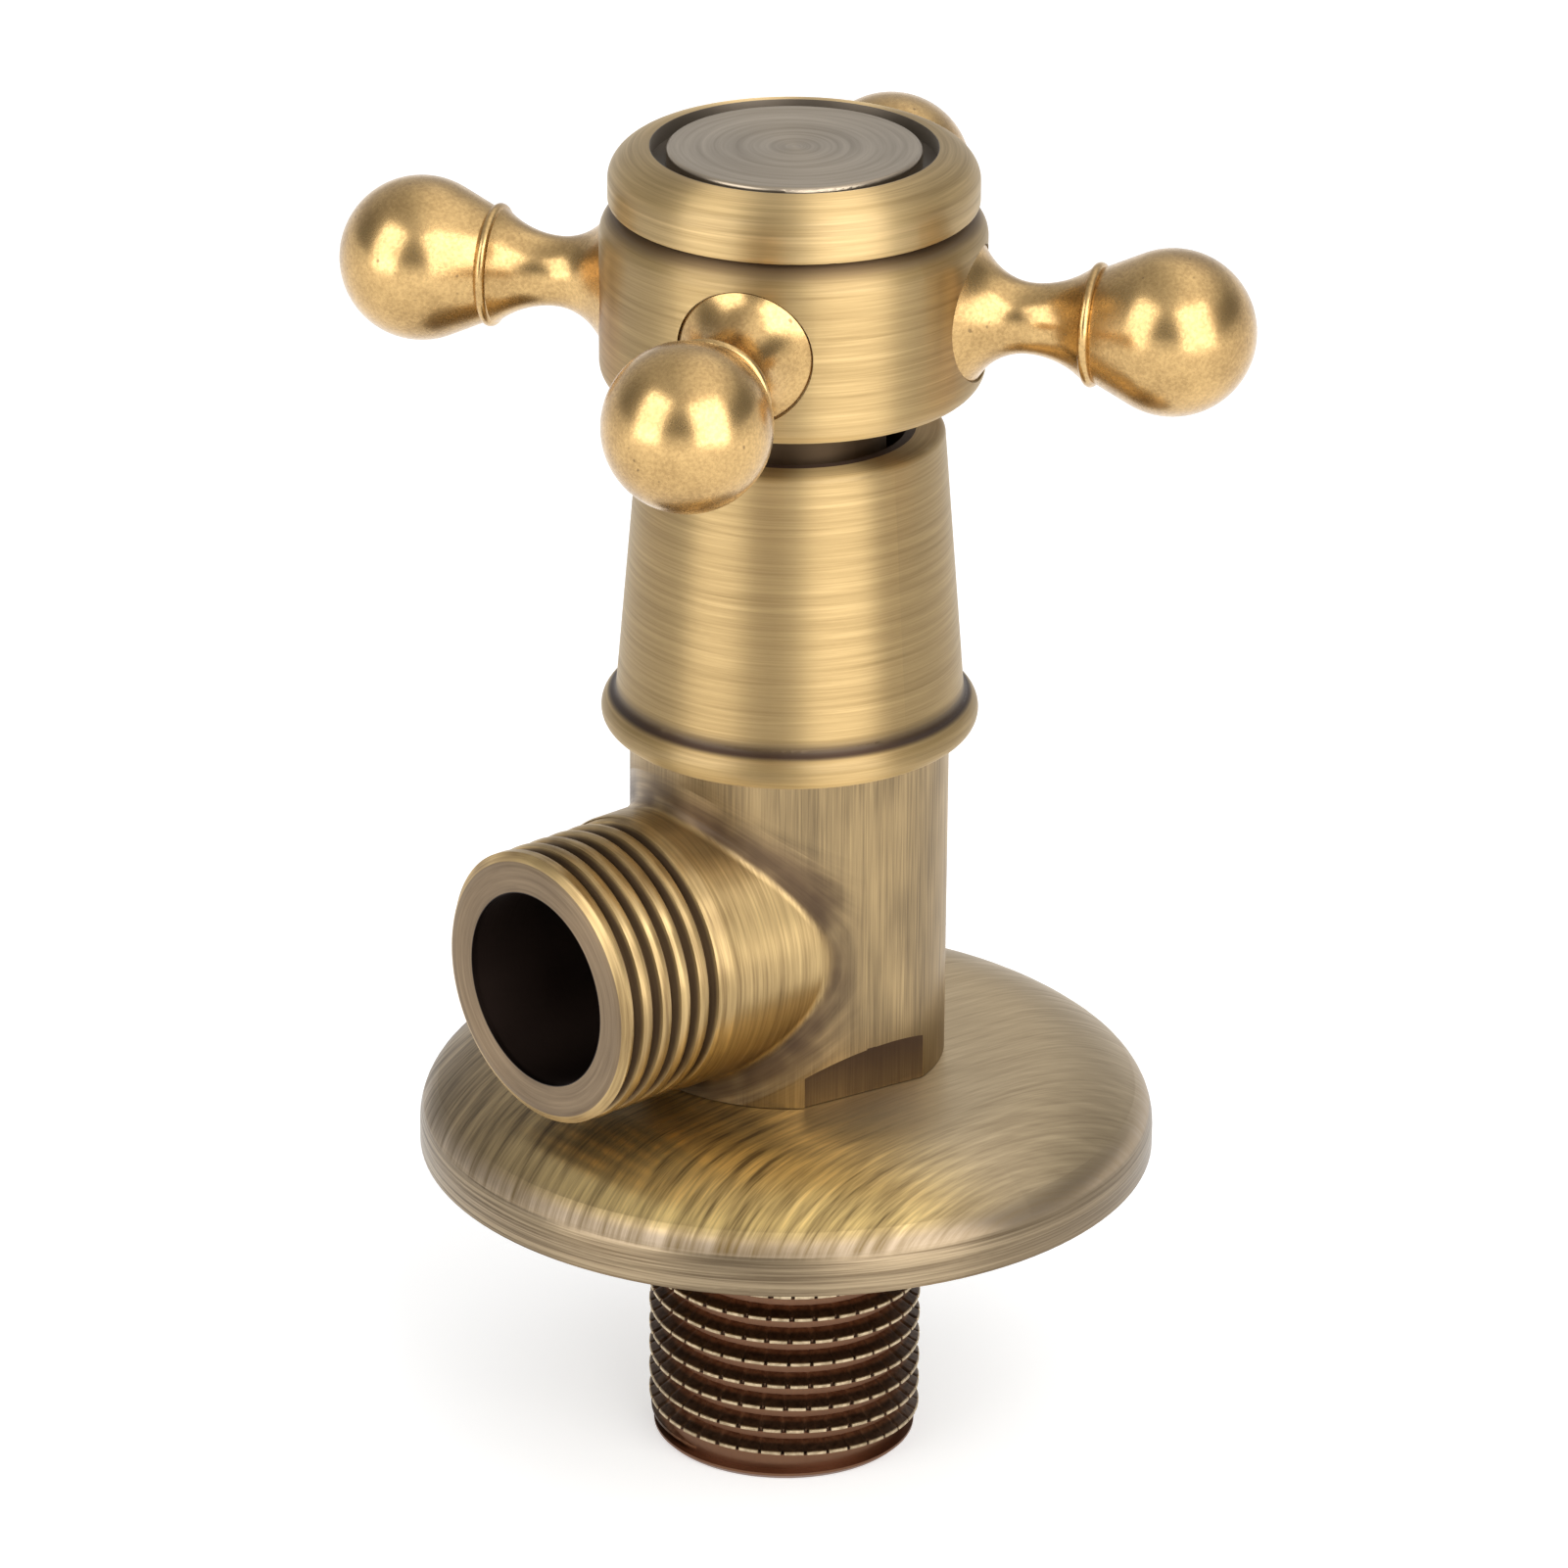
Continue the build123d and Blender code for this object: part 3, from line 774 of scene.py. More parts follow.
flare_drop = flare_radius - (flare_rim_radius - throat_radius)
rim_distance = throat_distance - sqrt(flare_radius**2 - flare_drop**2)
ball_tangent = (
    ball_distance - ball_radius * sin(radians(cone_half_angle)),
    ball_radius * cos(radians(cone_half_angle)),
)
cone_end = ridge_distance + ridge_half_width + ridge_notch
cone_end_radius = ball_tangent[1] - (ball_tangent[0] - cone_end) * tan(radians(cone_half_angle))
ridge_start = (ridge_distance - ridge_half_width, ridge_foot_radius)
ridge_end = (ridge_distance + ridge_half_width, ridge_foot_radius)
throat = (throat_distance, throat_radius)
neck_centre, neck_radius = circle_through(throat, throat_radius, ridge_start)
ridge_rise = ridge_radius - ridge_foot_radius
bead_radius = (ridge_half_width**2 + ridge_rise**2) / (2 * ridge_rise)
bead_centre = (ridge_distance, ridge_radius - bead_radius)

spoke_outline = [
    (rim_distance - flare_skirt, 0),
    (rim_distance - flare_skirt, flare_rim_radius),
    (rim_distance, flare_rim_radius),
]
spoke_outline += arc_between(
    (throat_distance, throat_radius + flare_radius), flare_radius, spoke_outline[-1], throat, 28
)
spoke_outline += arc_between(neck_centre, neck_radius, throat, ridge_start, 20)
spoke_outline += arc_between(bead_centre, bead_radius, ridge_start, ridge_end, 12)
spoke_outline.append((cone_end, cone_end_radius))
spoke_outline.append(ball_tangent)
spoke_outline += arc_between(
    (ball_distance, 0), ball_radius, ball_tangent, (ball_distance + ball_radius, 0), 40
)


def on_saddle(along, radius, angle):
    """A lathe point, moved towards the hub's axis by the sag of the hub where the flare meets it."""
    sideways = radius * cos(angle)
    sag = hub_radius - sqrt(hub_radius**2 - sideways**2)
    share = min(1, max(0, (throat_distance - along) / (throat_distance - rim_distance)))
    return along - sag * share**2, radius, angle


spokes = {}
for n, name in enumerate(spoke_names):
    bm = turned(spoke_outline, spoke_steps, on_saddle)
    heading = radians(first_spoke + 90 * n)
    bm.transform(Matrix.Translation((0, 0, spoke_height)) @ Matrix.Rotation(heading, 4, "Z"))
    spokes[name] = finished_object(f"turned_spoke_{name}", bm)
print("spoke:", len(spokes["front"].data.polygons), "faces")

# %% [markdown]
# ## Studio
# The valve is lit as on a product table: two tall soft boxes, one on each side of the camera, and a
# grey room with a brighter ceiling on the right. The boxes give the two long bands of light on the
# cone, and the dimmer strip between them is the room behind the camera. What the camera sees of the
# room is plain white, so the picture has a white ground without more light.

# %% Studio light
def box_lamp(name, azimuth, elevation, distance, width, height, radiance):
    """An area lamp that faces the valve. The azimuth counts from the camera's own, to its right."""
    data = bpy.data.lights.new(name, "AREA")
    data.shape = "RECTANGLE"
    data.size = width
    data.size_y = height
    data.energy = radiance * pi * width * height
    lamp = placed(name, data)
    heading = view_azimuth + radians(azimuth)
    rise = radians(elevation)
    direction = Vector((sin(heading) * cos(rise), -cos(heading) * cos(rise), sin(rise)))
    lamp.location = view_target + distance * direction
    lamp.rotation_euler = direction.to_track_quat("Z", "Y").to_euler()
    lamp.visible_camera = False
    print(f"{name}: {width} by {height} m, {data.energy:.1f} W")


box_lamp("soft_box_right", azimuth=35, elevation=25, distance=1.3, width=1.1, height=1.4, radiance=3.5)
box_lamp("soft_box_left", azimuth=-54, elevation=25, distance=1.3, width=0.9, height=1.4, radiance=2.8)

world = bpy.data.worlds.new("studio")
scene.world = world
world.use_nodes = True
tree = world.node_tree
direction = add_node(tree, "ShaderNodeTexCoord").outputs["Generated"]
height = split(direction)["Z"]
overhead = ramp(height, 0.10, 0.18)
away = vector_math("DOT_PRODUCT", direction, (-sin(view_azimuth), cos(view_azimuth), 0))
behind = ramp(away, 0.25, 0.75)
room = mix_colour(behind, (0.22, 0.22, 0.22, 1), (0.60, 0.60, 0.60, 1))
ceiling = ramp(height, 0.45, 0.85)
sideways = vector_math("DOT_PRODUCT", direction, (cos(view_azimuth), sin(view_azimuth), 0))
on_right = ramp(sideways, -0.35, 0.35)
panel = mix_colour(on_right, (0.55, 0.55, 0.55, 1), (1.35, 1.35, 1.35, 1))
room = mix_colour(ceiling, room, panel)
room = mix_colour(overhead, (1, 1, 1, 1), room)
seen = add_node(tree, "ShaderNodeLightPath").outputs["Is Camera Ray"]
room = mix_colour(seen, room, (1, 1, 1, 1))
tree.links.new(room, tree.nodes["Background"].inputs["Color"])

# %% [markdown]
# ## Table
# The photograph has no shadow, so the table glows a little for the camera, for reflections and
# behind glass, and is plain matt white for all other light, which it sends up under the flange.

# %% White table
table_radius = 3
table_drop = 0.02 * MM
table_glow = 0.42
bm = bmesh.new()
bmesh.ops.create_circle(bm, cap_ends=True, segments=64, radius=table_radius)
mesh = bpy.data.meshes.new("table")
bm.to_mesh(mesh)
bm.free()
table = placed("table", mesh)
table.location.z = -table_drop
table_white = bpy.data.materials.new("table_white")
table_white.use_nodes = True
tree = table_white.node_tree
tree.nodes.clear()
path = add_node(tree, "ShaderNodeLightPath")
seen = largest(*(path.outputs[f"Is {kind} Ray"] for kind in ("Camera", "Glossy", "Transmission")))
matt = add_node(tree, "ShaderNodeBsdfDiffuse", {"Color": (0.7, 0.7, 0.7, 1)})
glow = add_node(tree, "ShaderNodeEmission", {"Strength": times(seen, table_glow)})
both = add_node(tree, "ShaderNodeAddShader", {0: matt.outputs[0], 1: glow.outputs[0]})
add_node(tree, "ShaderNodeOutputMaterial", {"Surface": both.outputs[0]})
mesh.materials.append(table_white)
print(f"table: {table_radius} m in radius")

# %% [markdown]
# ## Patterns of the finish
# Antique brass is plated dark and then brushed back, so the bright metal shows through as fine
# lines that follow the tool. The patterns are shader groups, built once: lines round an axis for
# turned faces and for the swirls of a brush, and straight lines for the drum. Noise in four
# dimensions draws the round lines without a seam: it changes fast with the radius and the height,
# and slowly along the circle, so a line is long and thin.

# %% Lines round an axis
line_range = (0.28, 0.72)


def noise(vector, w=0.0, detail=3.0, roughness=0.6):
    """The output of four-dimensional noise at a scale of 1."""
    node = add_node(
        home(vector),
        "ShaderNodeTexNoise",
        {"Scale": 1.0, "Detail": detail, "Roughness": roughness, "Vector": vector, "W": w},
        noise_dimensions="4D",
    )
    return node.outputs["Fac"]


round_lines, inlets, outlets = new_tree(
    "round_lines",
    "ShaderNodeTree",
    [
        ("Point", "Vector", None),
        ("Centre", "Vector", None),
        ("Fineness", "Float", 4000.0),
        ("Sweep", "Float", 120.0),
    ],
    [("Lines", "Float"), ("Radius", "Float")],
)
tree = round_lines
given = inlets.outputs
offset = split(vector_math("SUBTRACT", given["Point"], given["Centre"]))
radius = vector_math("LENGTH", join_parts(X=offset["X"], Y=offset["Y"]))
where = join_parts(
    X=times(offset["X"], given["Sweep"]),
    Y=times(offset["Y"], given["Sweep"]),
    Z=times(offset["Z"], given["Fineness"]),
)
lines = noise(where, times(radius, given["Fineness"]))
tree.links.new(ramp(lines, *line_range, smooth=False), outlets.inputs["Lines"])
tree.links.new(radius, outlets.inputs["Radius"])
print("round_lines:", len(tree.nodes), "nodes")

# %% [markdown]
# ## Straight lines
# The drum is brushed along its height. Noise that is squeezed in X and Y and hardly changes in Z
# gives upright lines, with no need of an axis.

# %% Straight lines
straight_lines, inlets, outlets = new_tree(
    "straight_lines",
    "ShaderNodeTree",
    [("Point", "Vector", None), ("Scales", "Vector", None)],
    [("Lines", "Float")],
)
tree = straight_lines
lines = noise(vector_math("MULTIPLY", inlets.outputs["Point"], inlets.outputs["Scales"]))
tree.links.new(ramp(lines, *line_range, smooth=False), outlets.inputs["Lines"])
print("straight_lines:", len(tree.nodes), "nodes")

# %% [markdown]
# ## Tone of antique brass
# One group turns the patterns into colour and roughness: bright metal on the lines, deep brown
# between them, and a dull, almost black colour for painted shade in creases and hollows and for
# patina where brushes don't reach. Every brass piece uses it with its own colours.

# %% Antique tone
antique_tone, inlets, outlets = new_tree(
    "antique_tone",
    "ShaderNodeTree",
    [
        ("Lines", "Float", 0.5),
        ("Cloud", "Float", 0.5),
        ("Shade And Patina", "Float", 0.0),
        ("Line Contrast", "Float", 0.6),
        ("Cloud Contrast", "Float", 0.4),
        ("Bright", "Color", (0.62, 0.45, 0.22, 1)),
        ("Deep", "Color", (0.30, 0.19, 0.08, 1)),
        ("Patina Colour", "Color", (0.05, 0.03, 0.018, 1)),
        ("Polish", "Float", 0.30),
    ],
    [("Colour", "Color"), ("Roughness", "Float")],
)
tree = antique_tone
given = inlets.outputs
line_part = times(math("SUBTRACT", given["Lines"], 0.5), given["Line Contrast"])
cloud_part = times(math("SUBTRACT", given["Cloud"], 0.5), given["Cloud Contrast"])
tone = math("ADD", math("ADD", line_part, cloud_part), 0.5, clamp=True)
metal = mix_colour(tone, given["Deep"], given["Bright"])
# The dark colour here is painted shade as well as patina.
colour = mix_colour(given["Shade And Patina"], metal, given["Patina Colour"])
dull = times(opposite(tone), 0.12)
dull = math("ADD", dull, times(given["Shade And Patina"], 0.2))
tree.links.new(colour, outlets.inputs["Colour"])
tree.links.new(math("ADD", given["Polish"], dull), outlets.inputs["Roughness"])
print("antique_tone:", len(tree.nodes), "nodes")

# %% [markdown]
# ## Brass materials
# A material is one Principled shader with the tone group in front of it. Fine brush lines stretch
# a highlight across them. The shader's anisotropy does that along its tangent, which so lies across
# the lines: upright on turned pieces, level on the drum and away from the centre of the strokes on
# the flange.

# %% Material helpers
def group(shared, inputs):
    """The outputs of a shared shader group, placed in a tree with its own values."""
    return add_node(home(*inputs.values()), "ShaderNodeGroup", inputs, node_tree=shared).outputs


def new_metal(name, anisotropy=0.0, coat=0.0):
    """A metal material: (material, tree, shader, point on the piece)."""
    material = bpy.data.materials.new(name)
    material.use_nodes = True
    tree = material.node_tree
    shader = tree.nodes["Principled BSDF"]
    shader.inputs["Metallic"].default_value = 1.0
    shader.inputs["Anisotropic"].default_value = anisotropy
    shader.inputs["Coat Weight"].default_value = coat
    shader.inputs["Coat Roughness"].default_value = 0.25
    point = add_node(tree, "ShaderNodeTexCoord").outputs["Object"]
    return material, tree, shader, point


def finish_metal(shader, colour, roughness, relief, strength, distance=0.01 * MM):
    """Gives the shader its colour, its roughness and the relief of the lines as a bump."""
    inputs = {"Strength": strength, "Distance": distance, "Height": relief}
    bump = add_node(home(relief), "ShaderNodeBump", inputs)
    feed(shader.inputs["Base Color"], colour)
    feed(shader.inputs["Roughness"], roughness)
    feed(shader.inputs["Normal"], bump.outputs["Normal"])


def scaled(point, scales, shift=(0, 0, 0)):
    """The point, shifted and then scaled along each axis."""
    return vector_math("MULTIPLY", vector_math("ADD", point, shift), scales)


def cloud(point, size, low=0.3, high=0.7):
    """Broad noise whose patches are about that size, in metres."""
    where = scaled(point, (1 / size, 1 / size, 1 / size))
    return ramp(noise(where, detail=2.0), low, high)


def near_height(point, height, below, above):
    """1 at a height, falling softly to 0 at the given distances below and above it."""
    away = math("SUBTRACT", split(point)["Z"], height)
    over = math("DIVIDE", away, above)
    under = math("DIVIDE", away, -below)
    return opposite(ramp(largest(over, under), 0.0, 1.0))


def towards(point, way, low, high):
    """A soft step from 0 to 1 between two distances from the origin along a direction."""
    return ramp(vector_math("DOT_PRODUCT", point, way), low, high)


# %% [markdown]
# ## Turned pieces
# The sleeve, the hub, the cap and the disc are brushed on the lathe, so their lines run round the
# axis. Creases get painted shade, masked by height, and dark plating stays inside rims, masked by radius.

# %% Turned brass of the handle and the sleeve
gold = (0.66, 0.475, 0.225, 1)
olive = (0.41, 0.28, 0.115, 1)
crease_brown = (0.13, 0.085, 0.06, 1)


def turned_brass(
    name,
    bright,
    deep,
    creases=(),
    hidden_radius=0.0,
    hidden_below=-1.0,
    polish=0.5,
    anisotropy=0.95,
    fineness=6500.0,
    contrast=0.45,
    shade_and_patina_colour=crease_brown,
):
    """Brass brushed round the vertical axis, with painted shade in creases and darker where brushes don't
    reach.
    """
    material, tree, shader, point = new_metal(name, anisotropy, coat=0.25)
    fine = group(round_lines, {"Point": point, "Fineness": fineness, "Sweep": 110.0})
    wide = group(round_lines, {"Point": point, "Fineness": fineness / 3, "Sweep": 60.0})
    # Painted shade in the creases; inside rims and below a height the dark plating stays.
    shade_and_patina = [near_height(point, *crease) for crease in creases]
    inside = math("LESS_THAN", fine["Radius"], hidden_radius)
    below = math("LESS_THAN", split(point)["Z"], hidden_below)
    shade_and_patina = largest(inside, below, *shade_and_patina)
    tone = group(
        antique_tone,
        {
            "Lines": fine["Lines"],
            "Cloud": wide["Lines"],
            "Shade And Patina": shade_and_patina,
            "Line Contrast": contrast,
            "Cloud Contrast": contrast,
            "Bright": bright,
            "Deep": deep,
            "Patina Colour": shade_and_patina_colour,
            "Polish": polish,
        },
    )
    finish_metal(shader, *tone, fine["Lines"], 0.25)
    tangent = add_node(tree, "ShaderNodeTangent", direction_type="RADIAL", axis="Z")
    tree.links.new(tangent.outputs["Tangent"], shader.inputs["Tangent"])
    shader.inputs["Anisotropic Rotation"].default_value = 0.25
    return material


# Painted shade: the crease low on the sleeve, the top of the hub under the cap and the foot of the cap
# over the hub.
crease_height = body_top + 2.65 * MM
sleeve_brass = turned_brass(
    "sleeve_brass",
    gold,
    olive,
    [(crease_height, 0.3 * MM, 1.3 * MM)],
    hidden_radius=9.2 * MM,
    shade_and_patina_colour=(0.10, 0.062, 0.042, 1),
)
hub_brass = turned_brass(
    "hub_brass",
    gold,
    olive,
    [(hub_high[2], 1.0 * MM, 0.3 * MM)],
    hidden_radius=11.0 * MM,
    hidden_below=hub_low[2] + 6.3 * MM,
    shade_and_patina_colour=(0.21, 0.14, 0.08, 1),
)
cap_brass = turned_brass(
    "cap_brass",
    (0.76, 0.56, 0.28, 1),
    (0.45, 0.31, 0.13, 1),
    [(cap_low[2], 0.2 * MM, 0.9 * MM)],
    hidden_radius=10.62 * MM,
    shade_and_patina_colour=(0.27, 0.225, 0.175, 1),
)
disc_brass = turned_brass(
    "disc_brass",
    (0.51, 0.425, 0.32, 1),
    (0.27, 0.215, 0.15, 1),
    polish=0.3,
    fineness=2600.0,
    contrast=0.6,
    anisotropy=0.5,
)

# %% [markdown]
# ## Brushing of the body
# The drum is brushed upwards. Round the barrel the brush can only run in circles, so rings cover the
# barrel and swirls the drum near it.

# %% Brush lines of the body
swirl_range = (11.6 * MM, 15 * MM)
body_brass, tree, shader, point = new_metal("body_brass", 0.8, coat=0.2)
parts = split(point)
upward = group(straight_lines, {"Point": point, "Scales": (6500.0, 6500.0, 110.0)})
mapped = add_node(
    tree,
    "ShaderNodeMapping",
    {"Vector": scaled(point, (1, 1, 1), (0, 0, -outlet_height)), "Rotation": (pi / 2, 0, 0)},
    vector_type="POINT",
).outputs["Vector"]
barrel_rings = group(round_lines, {"Point": mapped, "Fineness": 4200.0, "Sweep": 150.0})
swirl_point = scaled(mapped, (1, 1, 0.05))
swirls = group(round_lines, {"Point": swirl_point, "Fineness": 3600.0, "Sweep": 160.0})
barrel_reach = barrel_rings["Radius"]
outward_reach = times(parts["Y"], -1.0)
in_front = ramp(outward_reach, 2 * MM, 6 * MM)
off_barrel = ramp(barrel_reach, barrel_radius + 0.1 * MM, barrel_radius + 0.5 * MM)
near_barrel = opposite(ramp(barrel_reach, *swirl_range))
near_barrel = times(near_barrel, in_front)
lines = mix_value(off_barrel, barrel_rings["Lines"], swirls["Lines"])
lines = mix_value(near_barrel, upward["Lines"], lines)
print(f"swirls up to {swirl_range[1] / MM:.0f} mm from the outlet's axis")

# %% [markdown]
# ## Painted shade on the body
# The crease round the barrel and the thread's groove get painted shade, and the flats are dark,
# darker towards their top. The masks are the distance from the outlet's axis for the first two and
# the face's direction for the flats.

# %% Painted shade on the body
thread_begin = 9 * MM
bore_shade_black = (0.022, 0.014, 0.011, 1)
past_drum = math("GREATER_THAN", outward_reach, thread_begin)
behind_tip = math("LESS_THAN", outward_reach, outlet_tip - 0.45 * MM)
# Painted shade in the groove of the outlet's thread.
groove = ramp(barrel_reach, thread_crest - 0.12 * MM, thread_crest - 0.5 * MM)
bore_wall = math("LESS_THAN", barrel_reach, outlet_bore_radius + 0.06 * MM)
end_face = math("GREATER_THAN", outward_reach, outlet_tip - 0.05 * MM)
facing = add_node(tree, "ShaderNodeNewGeometry").outputs["True Normal"]
sideways = vector_math("DOT_PRODUCT", facing, (cos(flat_turn), sin(flat_turn), 0))
on_flat = math("GREATER_THAN", math("ABSOLUTE", sideways), 0.9995)
below_flat_top = math("LESS_THAN", parts["Z"], body_base + flat_height)
# The flats are darker towards their top.
flat_tone = ramp(parts["Z"], body_base - 4 * MM, body_base + flat_height)
# Painted shade in a patchy band round the barrel's crease, on the front of the drum.
crease_shade_out = ramp(barrel_reach, 14.5 * MM, 11.4 * MM)
crease_shade_in = ramp(barrel_reach, 10.6 * MM, 10.95 * MM)
blotches = times(cloud(point, 5 * MM, 0.25, 0.6), 0.6)
shade_and_patina = largest(
    times(crease_shade_out, crease_shade_in, in_front, math("ADD", 0.25, blotches)),
    times(groove, past_drum, behind_tip, 0.85),
    times(flat_tone, on_flat, below_flat_top),
)
barrel_share = times(opposite(off_barrel), in_front)
tone = group(
    antique_tone,
    {
        "Lines": lines,
        "Cloud": cloud(scaled(point, (1, 1, 0.35)), 4 * MM),
        "Shade And Patina": shade_and_patina,
        "Bright": mix_colour(barrel_share, (0.47, 0.335, 0.165, 1), (0.62, 0.44, 0.20, 1)),
        "Deep": mix_colour(barrel_share, (0.17, 0.12, 0.065, 1), (0.22, 0.14, 0.058, 1)),
        "Patina Colour": (0.09, 0.053, 0.033, 1),
        "Line Contrast": 0.75,
        "Cloud Contrast": 0.4,
        "Polish": 0.36,
    },
)

# %% [markdown]
# ## Parts that aren't brushed
# The outlet's end is faced on a lathe and shows its rings, the tail is raw with painted table light at
# its root, and the bore gets near-black painted shade.
# The tangent lies level on the drum and across the rings near the barrel.

# %% Colour and brush direction of the body
end_rings = mix_colour(barrel_rings["Lines"], (0.155, 0.105, 0.06, 1), (0.26, 0.185, 0.11, 1))
colour = mix_colour(end_face, tone["Colour"], end_rings)
tail_part = math("LESS_THAN", parts["Z"], body_base - 0.1 * MM)
on_shank = math("GREATER_THAN", parts["Z"], tail_thread_top)
# Painted light: the tail's root between the thread's turns gets the copper of the table's light.
tail_colour = mix_colour(on_shank, (0.20, 0.10, 0.055, 1), (0.10, 0.064, 0.038, 1))
colour = mix_colour(tail_part, colour, tail_colour)
# Painted shade: the outlet's bore wall is near black.
colour = mix_colour(times(bore_wall, past_drum), colour, bore_shade_black)
finish_metal(shader, colour, tone["Roughness"], lines, 0.3)
level_way = join_parts(X=outward_reach, Y=parts["X"])
above_outlet = math("SUBTRACT", parts["Z"], outlet_height)
barrel_way = join_parts(X=parts["X"], Y=5 * MM, Z=above_outlet)
is_barrel = math("GREATER_THAN", near_barrel, 0.5)
tree.links.new(mix_vector(is_barrel, level_way, barrel_way), shader.inputs["Tangent"])
print("body_brass:", len(tree.nodes), "nodes")

# %% [markdown]
# ## Finish of the flange
# In the photograph the strokes cross the whole flange in long flat arcs, nearly along Y, and not
# round its axis. So their centre lies far to the side. A second, coarser set from a nearer centre
# crosses them at a small angle, which breaks up the pattern as a hand does. The front of the top has
# painted light and the strongest lines, the left painted shade, the outer edge of the top a pale
# painted highlight, and the rim is brushed round.

# %% Wall flange
flange_brass, tree, shader, point = new_metal("flange_brass", 0.8, coat=0.2)
stroke_centre = (120 * MM, 0, 0)
crossing_centre = (55 * MM, -8 * MM, 0)
flat_point = scaled(point, (1, 1, 0))


def flange_strokes(centre, fineness, sweep):
    """Long flat arcs across the flange, as a brush leaves that crosses it in one stroke."""
    inputs = {"Point": flat_point, "Centre": centre, "Fineness": fineness, "Sweep": sweep}
    return group(round_lines, inputs)["Lines"]


strokes = flange_strokes(stroke_centre, 3600.0, 150.0)
broad_strokes = flange_strokes(crossing_centre, 1100.0, 110.0)
rim_lines = group(round_lines, {"Point": point, "Fineness": 5500.0, "Sweep": 60.0})["Lines"]
height = split(point)["Z"]
on_top = ramp(height, 27.4 * MM, 28.2 * MM)
edge = ramp(height, 29.8 * MM, 28.4 * MM)
# Painted light on the front of the top and painted shade on its left.
front = towards(point, (0.1, -1, 0), 2 * MM, 15 * MM)
left = towards(point, (-0.66, -0.75, 0), 6 * MM, 26 * MM)
lines = mix_value(on_top, rim_lines, strokes)
top_bright = mix_colour(front, (0.57, 0.44, 0.265, 1), (0.84, 0.61, 0.235, 1))
top_bright = mix_colour(left, top_bright, (0.38, 0.275, 0.145, 1))
# Painted highlight: the outer edge of the top turns pale and greyish.
top_bright = mix_colour(edge, top_bright, (0.36, 0.28, 0.195, 1))
top_deep = mix_colour(front, (0.32, 0.235, 0.135, 1), (0.15, 0.098, 0.038, 1))
top_deep = mix_colour(left, top_deep, (0.12, 0.083, 0.042, 1))
tone = group(
    antique_tone,
    {
        "Lines": lines,
        "Cloud": mix_value(on_top, rim_lines, broad_strokes),
        "Bright": mix_colour(on_top, (0.34, 0.26, 0.16, 1), top_bright),
        "Deep": mix_colour(on_top, (0.15, 0.105, 0.06, 1), top_deep),
        "Line Contrast": 0.75,
        "Cloud Contrast": mix_value(front, 0.3, 1.0),
        "Polish": 0.34,
    },
)
finish_metal(shader, *tone, lines, 0.3)
from_centre = scaled(point, (1, 1, 0), tuple(-v for v in stroke_centre))
is_top = math("GREATER_THAN", on_top, 0.5)
tree.links.new(mix_vector(is_top, (0, 0, 1), from_centre), shader.inputs["Tangent"])
print("flange_brass:", len(tree.nodes), "nodes")

# %% [markdown]
# ## Finish of the spokes
# The spokes come straight from the mould, tumbled but not brushed, so a fine grain and a few dark
# specks replace the lines.

# %% Cast spokes
spoke_brass, tree, shader, point = new_metal("spoke_brass", coat=0.3)
grain = cloud(point, 0.28 * MM)
specks = ramp(noise(scaled(point, (1400, 1400, 1400)), detail=1.0), 0.70, 0.78)
tone = group(
    antique_tone,
    {
        "Lines": grain,
        "Cloud": cloud(point, 4 * MM),
        "Shade And Patina": times(specks, 0.5),
        "Bright": (0.67, 0.44, 0.18, 1),
        "Deep": (0.38, 0.235, 0.09, 1),
        "Polish": 0.21,
        "Line Contrast": 0.5,
        "Cloud Contrast": 0.5,
    },
)
finish_metal(shader, *tone, grain, 0.18)
print("spoke_brass:", len(tree.nodes), "nodes")

# %% [markdown]
# ## Finish of the tail
# The thread of the tail isn't finished at all: dark flanks, copper painted light from the table
# towards its root, and pale crests where other threads have rubbed. The distance from the axis tells
# the three apart.

# %% Tail thread
thread_brass, tree, shader, point = new_metal("thread_brass")
grain = cloud(point, 0.5 * MM)
reach = vector_math("LENGTH", scaled(point, (1, 1, 0)))
on_crest = ramp(reach, thread_crest - 0.12 * MM, thread_crest - 0.03 * MM)
near_root = ramp(reach, thread_root + 0.55 * MM, thread_root + 0.2 * MM)
dark = mix_colour(grain, (0.05, 0.028, 0.017, 1), (0.10, 0.058, 0.035, 1))
# Painted light: the table's copper glow on the flanks near the root.
copper_table_light = mix_colour(grain, (0.17, 0.08, 0.042, 1), (0.29, 0.15, 0.08, 1))
pale = mix_colour(grain, (0.34, 0.26, 0.16, 1), (0.62, 0.50, 0.33, 1))
colour = mix_colour(near_root, dark, copper_table_light)
colour = mix_colour(on_crest, colour, pale)
finish_metal(shader, colour, 0.42, grain, 0.4, 0.03 * MM)
print("thread_brass:", len(tree.nodes), "nodes")

# %% [markdown]
# ## Inner pieces
# The pieces inside show only through the outlet and when the valve is taken apart, but each has its
# own plain material: dark brass, bright brass, rubber, ceramic or steel.

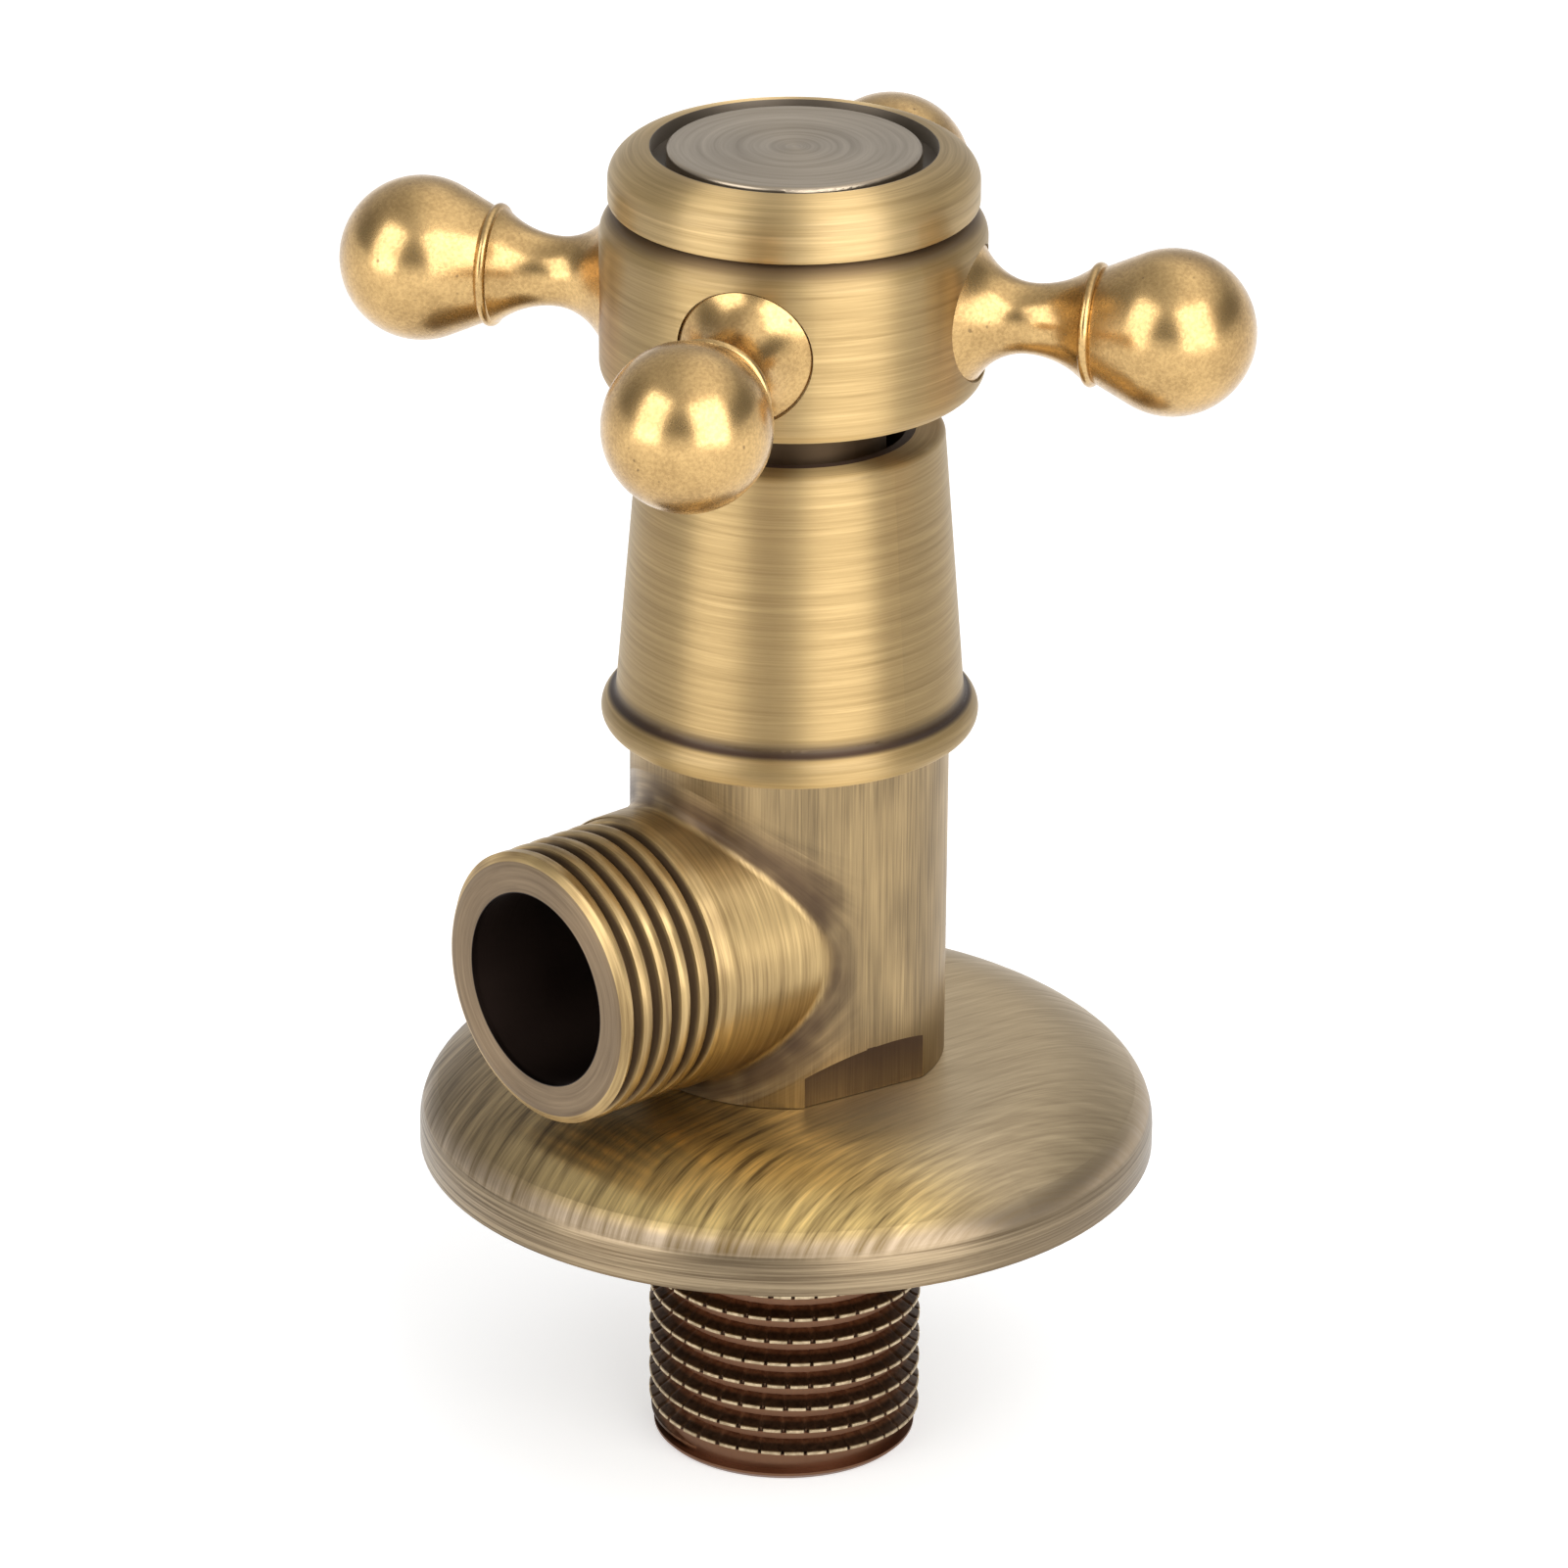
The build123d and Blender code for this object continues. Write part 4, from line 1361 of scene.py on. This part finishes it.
# %% Inner pieces
dark_brass = turned_brass("dark_brass", (0.10, 0.065, 0.04, 1), (0.05, 0.03, 0.02, 1), polish=0.35)
plain_brass = turned_brass("plain_brass", (0.70, 0.53, 0.28, 1), (0.60, 0.44, 0.22, 1))


def plain_material(name, colour, roughness, metallic=0.0):
    """A material for the pieces inside, with a faint unevenness in its roughness."""
    material, tree, shader, point = new_metal(name)
    shader.inputs["Metallic"].default_value = metallic
    shader.inputs["Base Color"].default_value = colour
    uneven = ramp(cloud(point, 2 * MM), -1.0, 2.0)
    tree.links.new(times(uneven, 2 * roughness), shader.inputs["Roughness"])
    return material


rubber = plain_material("rubber", (0.02, 0.02, 0.02, 1), 0.6)
ceramic = plain_material("ceramic", (0.80, 0.77, 0.70, 1), 0.25)
steel = plain_material("steel", (0.55, 0.55, 0.55, 1), 0.3, metallic=1.0)


def dress(piece, material):
    """Gives a piece its material."""
    piece.data.materials.clear()
    piece.data.materials.append(material)


dressed = {
    sleeve_brass: ["bonnet_sleeve"],
    hub_brass: ["handle_hub"],
    cap_brass: ["handle_cap"],
    disc_brass: ["index_disc"],
    flange_brass: ["wall_flange"],
    body_brass: ["valve_body"],
    spoke_brass: [f"spoke_{name}" for name in spoke_names],
    dark_brass: ["cartridge_body"],
    plain_brass: ["spindle"],
    rubber: ["cartridge_o_ring", "spindle_o_ring_lower", "spindle_o_ring_upper", "seat_seal"],
    ceramic: ["lower_disc", "upper_disc", "thrust_washer"],
    steel: ["retaining_clip", "handle_screw", "screw_washer"],
}
for material, names in dressed.items():
    for name in names:
        dress(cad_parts[name], material)
dress(valve_shell, body_brass)
dress(tail_thread, thread_brass)
for spoke in spokes.values():
    dress(spoke, spoke_brass)
print(len(dressed), "materials on", sum(len(names) for names in dressed.values()), "CAD pieces")

# %% [markdown]
# ## Hand over
# Each new piece rides with the body that it belongs to. The turned shell and the turned spokes take
# the place of their CAD nodes.

# %% Hand over
for piece in (tail_thread, valve_shell):
    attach(piece, "valve")
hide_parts("valve_body")
for name, spoke in spokes.items():
    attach(spoke, "handle")
    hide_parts(f"spoke_{name}")
scene.view_settings.view_transform = "Standard"
